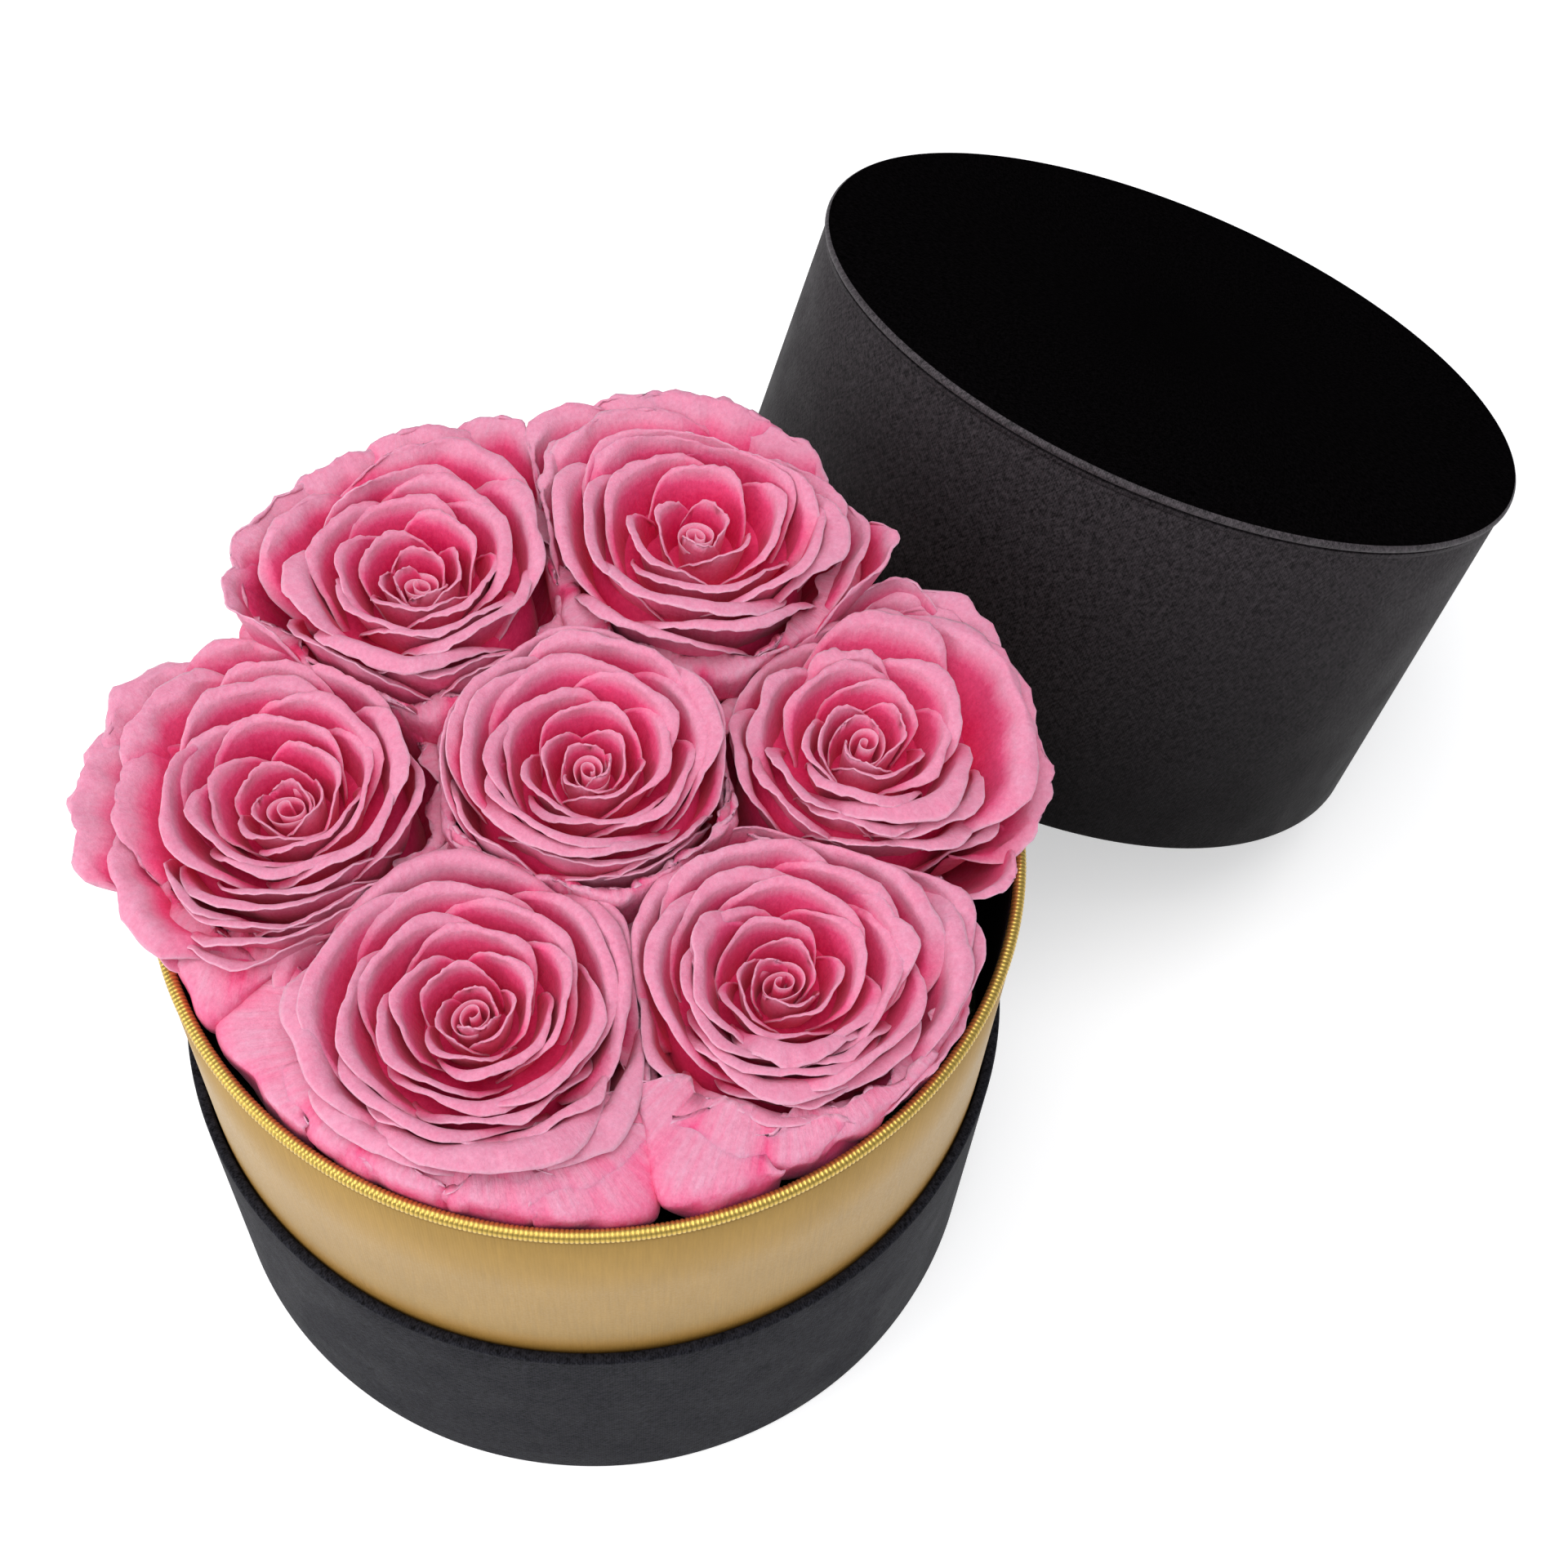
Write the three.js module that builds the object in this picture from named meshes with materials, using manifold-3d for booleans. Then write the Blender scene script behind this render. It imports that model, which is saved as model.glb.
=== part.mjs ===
// Round two-part gift box with seven preserved pink roses and its deep lid taken off.
// Millimetres, +Z up. The origin is the middle of the base's underside, on the table.
// +X points from the box towards the lid, which leans with its near rim on the base's shoulder.
import * as THREE from 'three';
import { mergeVertices } from 'three/addons/utils/BufferGeometryUtils.js';
import Module from 'manifold-3d';

const wasm = await Module();
wasm.setup();

// Driving dimensions of the box.
const segments = 40;
const fit = 0.3;
const collarRadius = 75;
const collarWall = 1.1;
const collarTop = 109.9;
const beadRadius = 1.15;
const beadProud = 0.2;
const liningWall = 0.8;
const wallThickness = 2;
const shoulderHeight = 59.9;
const floorThickness = 3;
const edgeRound = 0.8;
const baseRadius = collarRadius + fit + wallThickness;
const liningOuter = collarRadius - collarWall - fit;
const liningInner = liningOuter - liningWall;

// The lid: a tube as wide as the base and a covered top board that stands a little proud of it.
const lidDepth = 78.6;
const lidTopThickness = 3.2;
const lidTopOverhang = 0.8;
const lidTopRound = 1.1;
const lidRimHeight = shoulderHeight + 1.1;
const lidTilt = Math.asin(lidRimHeight / (2 * baseRadius));
const lidLift = 0.02;

// Floral foam with one blind hole for each stem.
const foamTop = 62;
const foamRadius = liningInner - 0.4;
const stemRadius = 2.4;
const stemHoleRadius = stemRadius + 0.35;
const stemHoleSides = 10;
const stemDepth = 16;

// The green calyx as radius and depth below its top, which is just under the receptacle.
// Its skirt runs out into sepals with valleys between them.
const calyxTop = -1.4;
const calyxDepth = 8;
const sepalCount = 5;
const sepalReach = 13;
const sepalValley = 5.4;
const calyxProfile = [[4.4, 5.5], [sepalReach, 6.7], [sepalReach, 6], [4.8, 1.5], [3.6, 0], [0, 0]];

// The flower heads. A head's own frame has its receptacle at height 0 and its lips at headHeight.
const headHeight = 42;
const bladeThickness = 0.75;
const goldenAngle = THREE.MathUtils.degToRad(137.508);
const cellMargin = 0.8;
const softness = 8;
const petalSideDrop = 0.42;
const bellyShare = 0.6;
const budTurns = 1.6;
const budLevel = 22;
const budWidth = 1.9;
const coreSides = 10;
const coreUnderside = [[0, -1], [4.5, -1], [20, 9], [20, 24]];
const coreTopRadii = [18, 10, 0];
const coreTopHeight = 36;
const heartSpread = 12;
const heartUnevenness = 0.4;

// Each rose: place and height of its lips, outward lean in degrees, how far its bud lies below
// its lips, direction of its first petal, radius of its bud, its share of the room between
// heads, and how many petals stand round its bud up to which radius.
// Its large petals are given by direction and radius of the lip, how far the lip lies below
// headHeight, half width in degrees, lean in degrees, radius of the roll of the lip, and reach
// past the wall of the box. Its low petals spread from under the large ones to the wall and are
// given by direction, radius, and how far their upper edge lies below headHeight.
const roses = [
  {
    name: 'left', x: -35.3, y: 38.8, top: 123, lean: 8, dip: 7, turn: 0.4, bud: 5.0, size: 1.05,
    heart: 5, heartRadius: 17,
    large: [
      [-30, 21, 0.0, 55, 14, 1.4, 0], [48, 34, 2.0, 52, 30, 2.0, 4], [-140, 24, 1.5, 62, 12, 0.9, 0],
      [98, 36, 4.0, 36, 44, 2.5, 13], [134, 35, 5.0, 40, 46, 2.5, 15], [172, 32, 4.5, 42, 38, 2.0, 10],
      [-145, 32, 6.5, 46, 10, 1.2, 0],
    ],
    low: [[-148, 40, 9]],
  },
  {
    name: 'back_left', x: 10.1, y: 52.8, top: 131, lean: 8, dip: 7, turn: 2.1, bud: 4.2, size: 1.0,
    heart: 5, heartRadius: 16,
    large: [
      [60, 22, 0.5, 62, 18, 1.6, 0], [-90, 21, 1.0, 60, 16, 1.6, 0], [155, 20, 1.5, 55, 16, 1.5, 0],
      [-30, 23, 1.0, 60, 18, 2.0, 0], [-142, 23, 2.0, 65, 20, 2.4, 0], [46, 34, 2.5, 34, 36, 1.5, 12],
      [104, 33, 4.0, 46, 24, 1.2, 12], [18, 41, 3.5, 32, 30, 1.5, 10],
    ],
    low: [],
  },
  {
    name: 'back', x: 51.5, y: 22.5, top: 132, lean: 8, dip: 5, turn: 3.6, bud: 4.2, size: 1.1,
    heart: 5, heartRadius: 17,
    large: [
      [65, 22, 0.5, 65, 24, 1.5, 0], [-10, 22, 0.5, 60, 20, 1.8, 0], [-150, 22, 1.0, 72, 18, 2.0, 0],
      [-160, 28, 4.5, 52, 20, 2.4, 0], [115, 31, 3.0, 45, 30, 1.8, 8], [42, 33, 2.5, 48, 36, 2.0, 12],
      [-38, 30, 5.5, 42, 28, 1.2, 7],
    ],
    low: [],
  },
  {
    name: 'centre', x: 3.6, y: 3.9, top: 127, lean: 0, dip: 6, turn: 5.1, bud: 4.0, size: 0.95,
    heart: 5, heartRadius: 18,
    large: [
      [30, 23, 0.0, 62, 18, 1.6, 0], [100, 24, 0.5, 58, 18, 1.4, 0], [-30, 22, 0.5, 62, 16, 1.4, 0],
      [-150, 20.5, 2.0, 80, 16, 2.0, 0], [55, 28, 1.0, 60, 22, 2.4, 0], [118, 28, 2.5, 50, 20, 1.4, 0],
      [-115, 23, 7.5, 62, 16, 0.9, 0],
    ],
    low: [],
  },
  {
    name: 'right', x: 40.6, y: -27.4, top: 125, lean: 8, dip: 4, turn: 0.9, bud: 5.0, size: 1.0,
    heart: 5, heartRadius: 13,
    large: [
      [-112, 17.5, 1.5, 85, 18, 2.0, 0], [112, 19.5, 1.5, 55, 22, 1.4, 0], [30, 24, 1.5, 52, 28, 1.4, 0],
      [-28, 29, 2.0, 80, 30, 2.2, 5], [140, 24, 4.0, 48, 20, 1.6, 0], [-125, 23, 5.0, 58, 18, 1.6, 0],
      [-48, 33, 9.5, 42, 30, 1.0, 9], [-98, 38, 9.5, 28, 28, 1.2, 3],
    ],
    low: [[8, 28, 8]],
  },
  {
    name: 'front_left', x: -41.0, y: -12.3, top: 119, lean: 5, dip: 5, turn: 4.2, bud: 4.2, size: 1.2,
    heart: 6, heartRadius: 21,
    large: [
      [-34, 27, 1.0, 58, 20, 2.4, 0], [150, 26, 1.5, 58, 20, 2.4, 0], [55, 28, 0.5, 62, 20, 2.6, 0],
      [-130, 27, 2.5, 62, 18, 2.8, 0], [-85, 29, 5.5, 52, 16, 2.4, 0],
    ],
    low: [[-92, 44, 8], [-140, 29, 7], [140, 39, 8]],
  },
  {
    name: 'front_right', x: -2.2, y: -45.5, top: 120, lean: 5, dip: 6, turn: 1.6, bud: 4.8, size: 1.12,
    heart: 4, heartRadius: 11,
    large: [
      [138, 15, 0.0, 80, 16, 1.2, 0], [-128, 15.5, 1.0, 60, 14, 1.6, 0], [60, 24, 0.5, 65, 22, 1.4, 0],
      [-150, 21, 2.5, 65, 14, 1.8, 0], [108, 27, 2.0, 52, 26, 2.2, 0], [-45, 28, 3.0, 52, 18, 2.4, 0],
      [-8, 33, 3.0, 46, 24, 1.8, 0],
    ],
    low: [[-132, 31, 8], [-166, 42, 8]],
  },
];

// Materials.
const finishes = {
  satin: new THREE.MeshStandardMaterial({ color: 0x1c1d22, roughness: 0.62, metalness: 0 }),
  lidSatin: new THREE.MeshStandardMaterial({ color: 0x0e0e10, roughness: 0.6, metalness: 0 }),
  gold: new THREE.MeshStandardMaterial({ color: 0xb59a62, roughness: 0.38, metalness: 0.6 }),
  blackCard: new THREE.MeshStandardMaterial({ color: 0x0a0908, roughness: 0.9, metalness: 0 }),
  foam: new THREE.MeshStandardMaterial({ color: 0x3b5136, roughness: 0.95, metalness: 0 }),
  petal: new THREE.MeshStandardMaterial({ color: 0xe58aa9, roughness: 0.7, metalness: 0 }),
  stem: new THREE.MeshStandardMaterial({ color: 0x55703a, roughness: 0.75, metalness: 0 }),
};

// A closed three.js geometry as a solid that can be joined and cut.
function toSolid(geometry) {
  const bare = geometry.clone();
  bare.deleteAttribute('normal');
  bare.deleteAttribute('uv');
  const merged = mergeVertices(bare, 1e-4);
  return new wasm.Manifold(new wasm.Mesh({
    numProp: 3,
    vertProperties: new Float32Array(merged.attributes.position.array),
    triVerts: new Uint32Array(merged.index.array),
  }));
}

function toGeometry(solid) {
  const mesh = solid.getMesh();
  const geometry = new THREE.BufferGeometry();
  geometry.setAttribute('position', new THREE.BufferAttribute(new Float32Array(mesh.vertProperties), 3));
  geometry.setIndex(new THREE.BufferAttribute(new Uint32Array(mesh.triVerts), 1));
  geometry.computeVertexNormals();
  return geometry;
}

function joinAll(solids) {
  return solids.reduce((sum, next) => sum.add(next));
}

// The outer skin of a joined solid: hollows that the join sealed are filled, loose scraps dropped.
function outerSkin(solid) {
  const bodies = solid.decompose();
  return bodies.reduce((most, body) => (body.volume() > most.volume() ? body : most));
}

// A solid of revolution about Z from profile points given as radius and height.
function turned(points, sides = segments) {
  const profile = points.map(([radius, height]) => new THREE.Vector2(radius, height));
  const geometry = new THREE.LatheGeometry(profile, sides);
  geometry.rotateX(Math.PI / 2);
  return geometry;
}

// A ring wall whose profile closes on itself, with its upper outer edge rounded.
function ringProfile(inner, outer, bottom, top, round) {
  const edge = arcPoints(outer - round, top - round, round, 0, 90, 2);
  return [[inner, bottom], [outer, bottom], ...edge, [inner, top], [inner, bottom]];
}

function arcPoints(centreRadius, centreHeight, radius, from, to, steps) {
  return Array.from({ length: steps + 1 }, (unused, index) => {
    const angle = THREE.MathUtils.degToRad(from + (to - from) * index / steps);
    return [centreRadius + radius * Math.cos(angle), centreHeight + radius * Math.sin(angle)];
  });
}

// The gold collar: a card sleeve with a rolled bead along its top.
function collarGeometry() {
  const inner = collarRadius - collarWall;
  const beadCentre = collarTop - beadRadius;
  const bead = arcPoints(collarRadius - beadRadius + beadProud, beadCentre, beadRadius, -60, 240, 6);
  const bottom = floorThickness + fit;
  const beadFoot = beadCentre - beadRadius;
  return turned([
    [inner, bottom], [collarRadius, bottom], [collarRadius, beadFoot], ...bead, [inner, beadFoot],
    [inner, bottom],
  ]);
}

function foamGeometry() {
  const bottom = floorThickness + fit;
  const block = turned([[0, bottom], [foamRadius, bottom], [foamRadius, foamTop], [0, foamTop]]);
  const holes = heads.map((head) => {
    const hole = new THREE.CylinderGeometry(
      stemHoleRadius,
      stemHoleRadius,
      stemDepth * 2,
      stemHoleSides,
    );
    hole.rotateX(Math.PI / 2);
    hole.translate(head.foot.x, head.foot.y, foamTop - fit);
    return toSolid(hole);
  });
  return toGeometry(toSolid(block).subtract(joinAll(holes)));
}

// A small repeatable random number in -1..1 for a seed and a counter.
function chance(seed, counter) {
  const value = Math.sin(seed * 127.1 + counter * 311.7) * 43758.5453;
  return 2 * (value - Math.floor(value)) - 1;
}

// A head's foot, its direction of lean, and its middle at any height.
function headOf(rose, index) {
  const outward = new THREE.Vector2(rose.x, rose.y).normalize();
  const slope = Math.tan(THREE.MathUtils.degToRad(rose.lean));
  const foot = new THREE.Vector3(
    rose.x - outward.x * slope * headHeight,
    rose.y - outward.y * slope * headHeight,
    rose.top - headHeight,
  );
  return { ...rose, outward, slope, foot, seed: index + 1 };
}

const heads = roses.map(headOf);

function middleAt(head, z) {
  const run = head.slope * (z - head.foot.z);
  return new THREE.Vector2(head.foot.x + head.outward.x * run, head.foot.y + head.outward.y * run);
}

// A point of a head given by angle, distance from its middle and height above its foot, leaned
// with the head. A distance counts in full as long as it is well short of its limits, which are
// planes between the head and its neighbours, shared by their sizes, and the inside of the box's
// wall, past which a petal may reach above the rim. Distance and limits are joined as one over
// the eighth root of the sum of the eighth powers of one over each.
function placed(head, angle, distance, height, past = 0) {
  const z = head.foot.z + height;
  const direction = new THREE.Vector2(Math.cos(angle), Math.sin(angle));
  const middle = middleAt(head, z);
  let tightness = Math.max(distance, 0.01) ** -softness;
  for (const other of heads) {
    if (other.name === head.name) continue;
    const between = middleAt(other, z).sub(middle);
    const share = head.size / (head.size + other.size);
    const facing = direction.dot(between) / between.length();
    if (facing > 0.05) {
      tightness += ((between.length() * share - cellMargin) / facing) ** -softness;
    }
  }
  const wall = liningInner - cellMargin + past;
  const along = middle.dot(direction);
  const reach = -along + Math.sqrt(Math.max(along * along + wall * wall - middle.lengthSq(), 1));
  tightness += reach ** -softness;
  const at = middle.addScaledVector(direction, tightness ** (-1 / softness));
  return new THREE.Vector3(at.x, at.y, z);
}

// A thin blade from a grid of points: both faces stand half a thickness off the grid along its
// normals and are split into triangles alike.
function bladeSolid(columns, rows, thickness, pointAt) {
  const grid = [];
  for (let row = 0; row <= rows; row += 1) {
    for (let column = 0; column <= columns; column += 1) {
      grid.push(pointAt(column / columns, row / rows));
    }
  }
  const at = (column, row) => row * (columns + 1) + column;
  const clamp = (value, most) => Math.min(Math.max(value, 0), most);
  const positions = [];
  for (const side of [1, -1]) {
    for (let row = 0; row <= rows; row += 1) {
      for (let column = 0; column <= columns; column += 1) {
        const along = grid[at(clamp(column + 1, columns), row)].clone()
          .sub(grid[at(clamp(column - 1, columns), row)]);
        const up = grid[at(column, clamp(row + 1, rows))].clone()
          .sub(grid[at(column, clamp(row - 1, rows))]);
        const normal = along.cross(up).normalize();
        const point = grid[at(column, row)].clone().addScaledVector(normal, side * thickness / 2);
        positions.push(point.x, point.y, point.z);
      }
    }
  }
  const back = grid.length;
  const faces = [];
  for (let row = 0; row < rows; row += 1) {
    for (let column = 0; column < columns; column += 1) {
      const [a, b] = [at(column, row), at(column + 1, row)];
      const [c, d] = [at(column + 1, row + 1), at(column, row + 1)];
      faces.push(a, b, c, a, c, d, back + a, back + c, back + b, back + a, back + d, back + c);
    }
  }
  const border = [
    ...Array.from({ length: columns }, (unused, index) => at(index, 0)),
    ...Array.from({ length: rows }, (unused, index) => at(columns, index)),
    ...Array.from({ length: columns }, (unused, index) => at(columns - index, rows)),
    ...Array.from({ length: rows }, (unused, index) => at(0, rows - index)),
  ];
  border.forEach((start, index) => {
    const end = border[(index + 1) % border.length];
    faces.push(back + start, back + end, end, back + start, end, start);
  });
  return new wasm.Manifold(new wasm.Mesh({
    numProp: 3,
    vertProperties: new Float32Array(positions),
    triVerts: new Uint32Array(faces),
  }));
}

// One petal. Its wall is a quadratic curve from its foot through a belly up to its lip, where it
// leans outwards, and its outline falls at both sides. The lip goes on from the wall's own slope
// and rolls outwards on an arc. Rows are shares of the wall, and past 1 shares of the roll.
// A petal that reaches past the wall of the box first rises over the rim.
function petalSolid(head, petal, rows, columns) {
  const { facing, radius, height, halfWidth, lean, roll, depth, footShare, past } = petal;
  const foot = new THREE.Vector2(footShare * radius, height - depth);
  const crest = new THREE.Vector2(radius, height);
  const belly = new THREE.Vector2(-Math.sin(lean), -Math.cos(lean))
    .multiplyScalar(bellyShare * depth)
    .add(crest);
  const wall = new THREE.QuadraticBezierCurve(foot, belly, crest);
  const curl = THREE.MathUtils.degToRad(35 + 32 * roll);
  const overRim = collarTop + bladeThickness + fit - head.foot.z;
  return bladeSolid(columns, rows.length - 1, bladeThickness, (s, t) => {
    const across = 2 * s - 1;
    const row = rows[Math.round(t * (rows.length - 1))];
    const outline = 1 - petalSideDrop * Math.abs(across) ** 3;
    const point = wall.getPoint(Math.min(row, 1) * outline);
    if (row > 1) {
      const slope = wall.getTangent(outline).angle();
      const bent = curl * (row - 1) * (1 - 0.45 * across ** 2);
      point.x += roll * (Math.sin(slope) - Math.sin(slope - bent));
      point.y += roll * (Math.cos(slope - bent) - Math.cos(slope));
    }
    if (past > 0 && row > 0.5) point.y = Math.max(point.y, overRim);
    const reach = row >= 1 ? past : 0;
    return placed(head, facing + across * halfWidth, point.x, point.y, reach);
  });
}

// How far a head's heart lies below its outer lips at a distance from its middle.
function sunkAt(head, radius) {
  return head.dip * Math.exp(-((radius / heartSpread) ** 2));
}

// The petals between the bud and the large petals, each a golden angle on from the last.
function heartPetals(head) {
  const start = head.bud + 1.5;
  return Array.from({ length: head.heart }, (unused, index) => {
    const share = (index + 0.5) / head.heart;
    const radius = start + (head.heartRadius - start) * share;
    return {
      facing: head.turn + goldenAngle * index,
      radius,
      height: headHeight - sunkAt(head, radius) + heartUnevenness * chance(head.seed, index),
      halfWidth: 1.6 - 0.3 * share,
      lean: THREE.MathUtils.degToRad(6 + 10 * share),
      roll: 0.6,
      depth: 13,
      footShare: 0.5,
      past: 0,
    };
  });
}

function largePetals(head) {
  return head.large.map(([direction, radius, drop, halfWidth, lean, roll, past]) => ({
    facing: THREE.MathUtils.degToRad(direction),
    radius: radius - 0.7 * roll,
    height: headHeight - drop,
    halfWidth: THREE.MathUtils.degToRad(halfWidth),
    lean: THREE.MathUtils.degToRad(lean),
    roll,
    depth: 26,
    footShare: 0.4,
    past,
  }));
}

function lowPetals(head) {
  return head.low.map(([direction, radius, drop]) => ({
    facing: THREE.MathUtils.degToRad(direction),
    radius,
    height: headHeight - drop,
    halfWidth: 0.72,
    lean: THREE.MathUtils.degToRad(-52),
    roll: 0.6,
    depth: 28,
    footShare: 0.3,
    past: 0,
  }));
}

// The bud: one blade wound round itself into a spiral that stands on the core.
function budSolid(head) {
  const highest = headHeight - head.dip;
  const lowest = budLevel - head.dip;
  return bladeSolid(12, 1, bladeThickness, (s, t) => {
    const angle = head.turn - 1 + 2 * Math.PI * budTurns * s;
    const width = budWidth + (head.bud - budWidth) * s;
    return placed(head, angle, width * (0.85 + 0.15 * t), lowest + (highest - s - lowest) * t);
  });
}

// The core that all petals of a head grow from and stand out of.
function coreSolid(head) {
  const top = coreTopRadii.map((radius) => [radius, coreTopHeight - sunkAt(head, radius)]);
  const geometry = turned([...coreUnderside, ...top], coreSides);
  const positions = geometry.attributes.position;
  for (let index = 0; index < positions.count; index += 1) {
    const flat = new THREE.Vector2(positions.getX(index), positions.getY(index));
    const point = placed(head, flat.angle(), flat.length(), positions.getZ(index));
    positions.setXYZ(index, point.x, point.y, point.z);
  }
  return toSolid(geometry);
}

// A petal that spreads over the rim needs one row more than one that stands.
function largeRows(petal) {
  return petal.past > 0 ? [0.35, 0.7, 1, 2] : [0.5, 1, 2];
}

function bloomGeometry(head) {
  return toGeometry(outerSkin(joinAll([
    coreSolid(head),
    budSolid(head),
    ...heartPetals(head).map((petal) => petalSolid(head, petal, [0.55, 2], 4)),
    ...largePetals(head).map((petal) => petalSolid(head, petal, largeRows(petal), 4)),
    ...lowPetals(head).map((petal) => petalSolid(head, petal, [0, 0.4, 0.7, 1], 3)),
  ])));
}

// The cut stem and the green calyx, whose skirt runs out into five pointed sepals.
function stemGeometry(head) {
  const foot = foamTop - stemDepth + fit - head.foot.z;
  const profile = [
    [0, foot], [stemRadius, foot], [stemRadius, calyxTop - calyxDepth],
    ...calyxProfile.map(([radius, depth]) => [radius, calyxTop - depth]),
  ];
  const geometry = turned(profile, 2 * sepalCount);
  const positions = geometry.attributes.position;
  for (let index = 0; index < positions.count; index += 1) {
    const flat = new THREE.Vector2(positions.getX(index), positions.getY(index));
    const isValley = Math.round(flat.angle() / (Math.PI / sepalCount)) % 2 === 1;
    if (flat.length() > sepalReach - 1 && isValley) flat.setLength(sepalValley);
    flat.rotateAround(new THREE.Vector2(), head.turn);
    positions.setXY(index, flat.x + head.foot.x, flat.y + head.foot.y);
    positions.setZ(index, positions.getZ(index) + head.foot.z);
  }
  return geometry;
}

const model = new THREE.Group();

function addPiece(name, geometry, finish, parent = model) {
  const mesh = new THREE.Mesh(geometry, finish);
  mesh.name = name;
  parent.add(mesh);
  return mesh;
}

addPiece('base_floor', turned([
  [0, 0], [collarRadius, 0], [collarRadius, floorThickness], [0, floorThickness],
]), finishes.satin);
addPiece('base_wall', turned(
  ringProfile(collarRadius + fit, baseRadius, 0, shoulderHeight, edgeRound),
), finishes.satin);
addPiece('collar', collarGeometry(), finishes.gold);
addPiece('collar_lining', turned(
  ringProfile(liningInner, liningOuter, floorThickness + fit, collarTop - 2 * beadRadius - fit, 0.2),
), finishes.blackCard);
addPiece('foam_block', foamGeometry(), finishes.foam);

for (const head of heads) {
  addPiece(`bloom_${head.name}`, bloomGeometry(head), finishes.petal);
  addPiece(`stem_${head.name}`, stemGeometry(head), finishes.stem);
}

// The lid stands in a group whose +Z is its own axis, from its mouth to its top.
const lid = new THREE.Group();
const lidMiddle = collarRadius + fit + baseRadius * Math.cos(lidTilt);
lid.position.set(lidMiddle, 0, lidRimHeight / 2 + lidLift);
lid.rotation.y = lidTilt;
model.add(lid);
const lidWallTop = lidDepth - lidTopThickness;
addPiece('lid_wall', turned([
  [collarRadius + fit, 0], [baseRadius, 0], [baseRadius, lidWallTop - fit],
  [collarRadius + fit, lidWallTop - fit], [collarRadius + fit, 0],
]), finishes.lidSatin, lid);
const lidTopRadius = baseRadius + lidTopOverhang;
addPiece('lid_top', turned([
  [0, lidWallTop],
  ...arcPoints(lidTopRadius - lidTopRound, lidWallTop + lidTopRound, lidTopRound, -90, 0, 2),
  ...arcPoints(lidTopRadius - lidTopRound, lidDepth - lidTopRound, lidTopRound, 0, 90, 2),
  [0, lidDepth],
]), finishes.lidSatin, lid);

export default model;
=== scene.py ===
"""Round gift box with seven preserved pink roses and its deep lid taken off.

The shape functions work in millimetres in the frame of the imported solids: origin under the
middle of the base, +Z up, +X from the box towards the lid. Meshes are made in metres.
"""
import math

import bmesh
import bpy
import numpy as np
from mathutils import Matrix, Vector


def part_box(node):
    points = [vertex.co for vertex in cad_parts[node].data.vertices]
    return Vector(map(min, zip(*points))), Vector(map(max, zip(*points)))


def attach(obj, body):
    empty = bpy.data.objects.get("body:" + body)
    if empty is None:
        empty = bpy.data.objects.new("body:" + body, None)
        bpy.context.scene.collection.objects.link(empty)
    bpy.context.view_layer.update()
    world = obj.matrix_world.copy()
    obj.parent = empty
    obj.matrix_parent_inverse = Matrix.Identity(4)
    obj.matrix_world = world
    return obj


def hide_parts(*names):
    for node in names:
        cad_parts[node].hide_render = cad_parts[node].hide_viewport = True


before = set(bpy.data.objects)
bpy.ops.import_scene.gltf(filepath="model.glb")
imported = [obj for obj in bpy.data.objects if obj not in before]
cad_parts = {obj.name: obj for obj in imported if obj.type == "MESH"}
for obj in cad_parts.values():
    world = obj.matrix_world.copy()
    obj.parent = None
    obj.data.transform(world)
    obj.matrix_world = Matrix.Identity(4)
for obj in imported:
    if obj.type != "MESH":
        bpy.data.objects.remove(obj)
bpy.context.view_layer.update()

bl_info = {
    "name": "Rose box",
    "version": (1, 0, 0),
    "blender": (4, 5, 0),
    "location": "3D View > Sidebar > Rose box",
    "description": "A round two-part gift box with seven preserved roses in it",
    "category": "Add Mesh",
}

BODY = "root"
MM = 0.001


def reach_of(node):
    """Lowest and highest corner of a solid, in millimetres."""
    low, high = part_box(node)
    return np.array(low) / MM, np.array(high) / MM


# Sizes read from the solids. The floor is as wide as the tube of the collar, whose rim is wider.
BASE_RADIUS, _, SHOULDER_HEIGHT = reach_of("base_wall")[1]
COLLAR_RADIUS = reach_of("base_floor")[1][0]
(_, _, COLLAR_FOOT), (_, _, COLLAR_TOP) = reach_of("collar")
LINING_OUTER, _, LINING_TOP = reach_of("collar_lining")[1]

# Sizes that the solids share with this script.
FIT = 0.3
COLLAR_WALL = 1.1
LINING_WALL = 0.8
LINING_INNER = LINING_OUTER - LINING_WALL
BEAD_RADIUS = 1.15
LID_DEPTH = 78.6
LID_TOP_THICKNESS = 3.2
LID_TOP_OVERHANG = 0.8
LID_RIM_HEIGHT = SHOULDER_HEIGHT + 1.1
LID_TILT = math.asin(LID_RIM_HEIGHT / (2 * BASE_RADIUS))
FOAM_TOP = 62
STEM_DEPTH = 16
STEM_RADIUS = 2.4
HEAD_HEIGHT = 42

# Faces round a turned piece.
WALL_SEGMENTS = 320
LINING_SEGMENTS = 240
CORE_SEGMENTS = 48
STEM_SEGMENTS = 24

# Columns of a petal, rows of its wall and rows of its lip.
HEART_GRID = (34, 8, 5)
OUTER_GRID = (42, 8, 8)
LOW_GRID = (50, 18, 3)

# Rules of the petals: the turn from one to the next, the share of a petal's length where its lip
# starts, how far it may press past the plane between two heads, the height over which it spreads
# above the rim, the powers that join its distance with its limits, and the tone of the core.
GOLDEN_ANGLE = math.radians(137.508)
LIP_FROM = 0.58
PRESS = 1.2
OVER_RIM = 4.0
SOFT_POWER = 8.0
OUTER_POWER = 14.0
LOW_POWER = 24.0
# The core sits deep in the head; its low tone is partly the petals' own deep colour and partly
# painted shade.
CORE_TONE = 0.15

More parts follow.
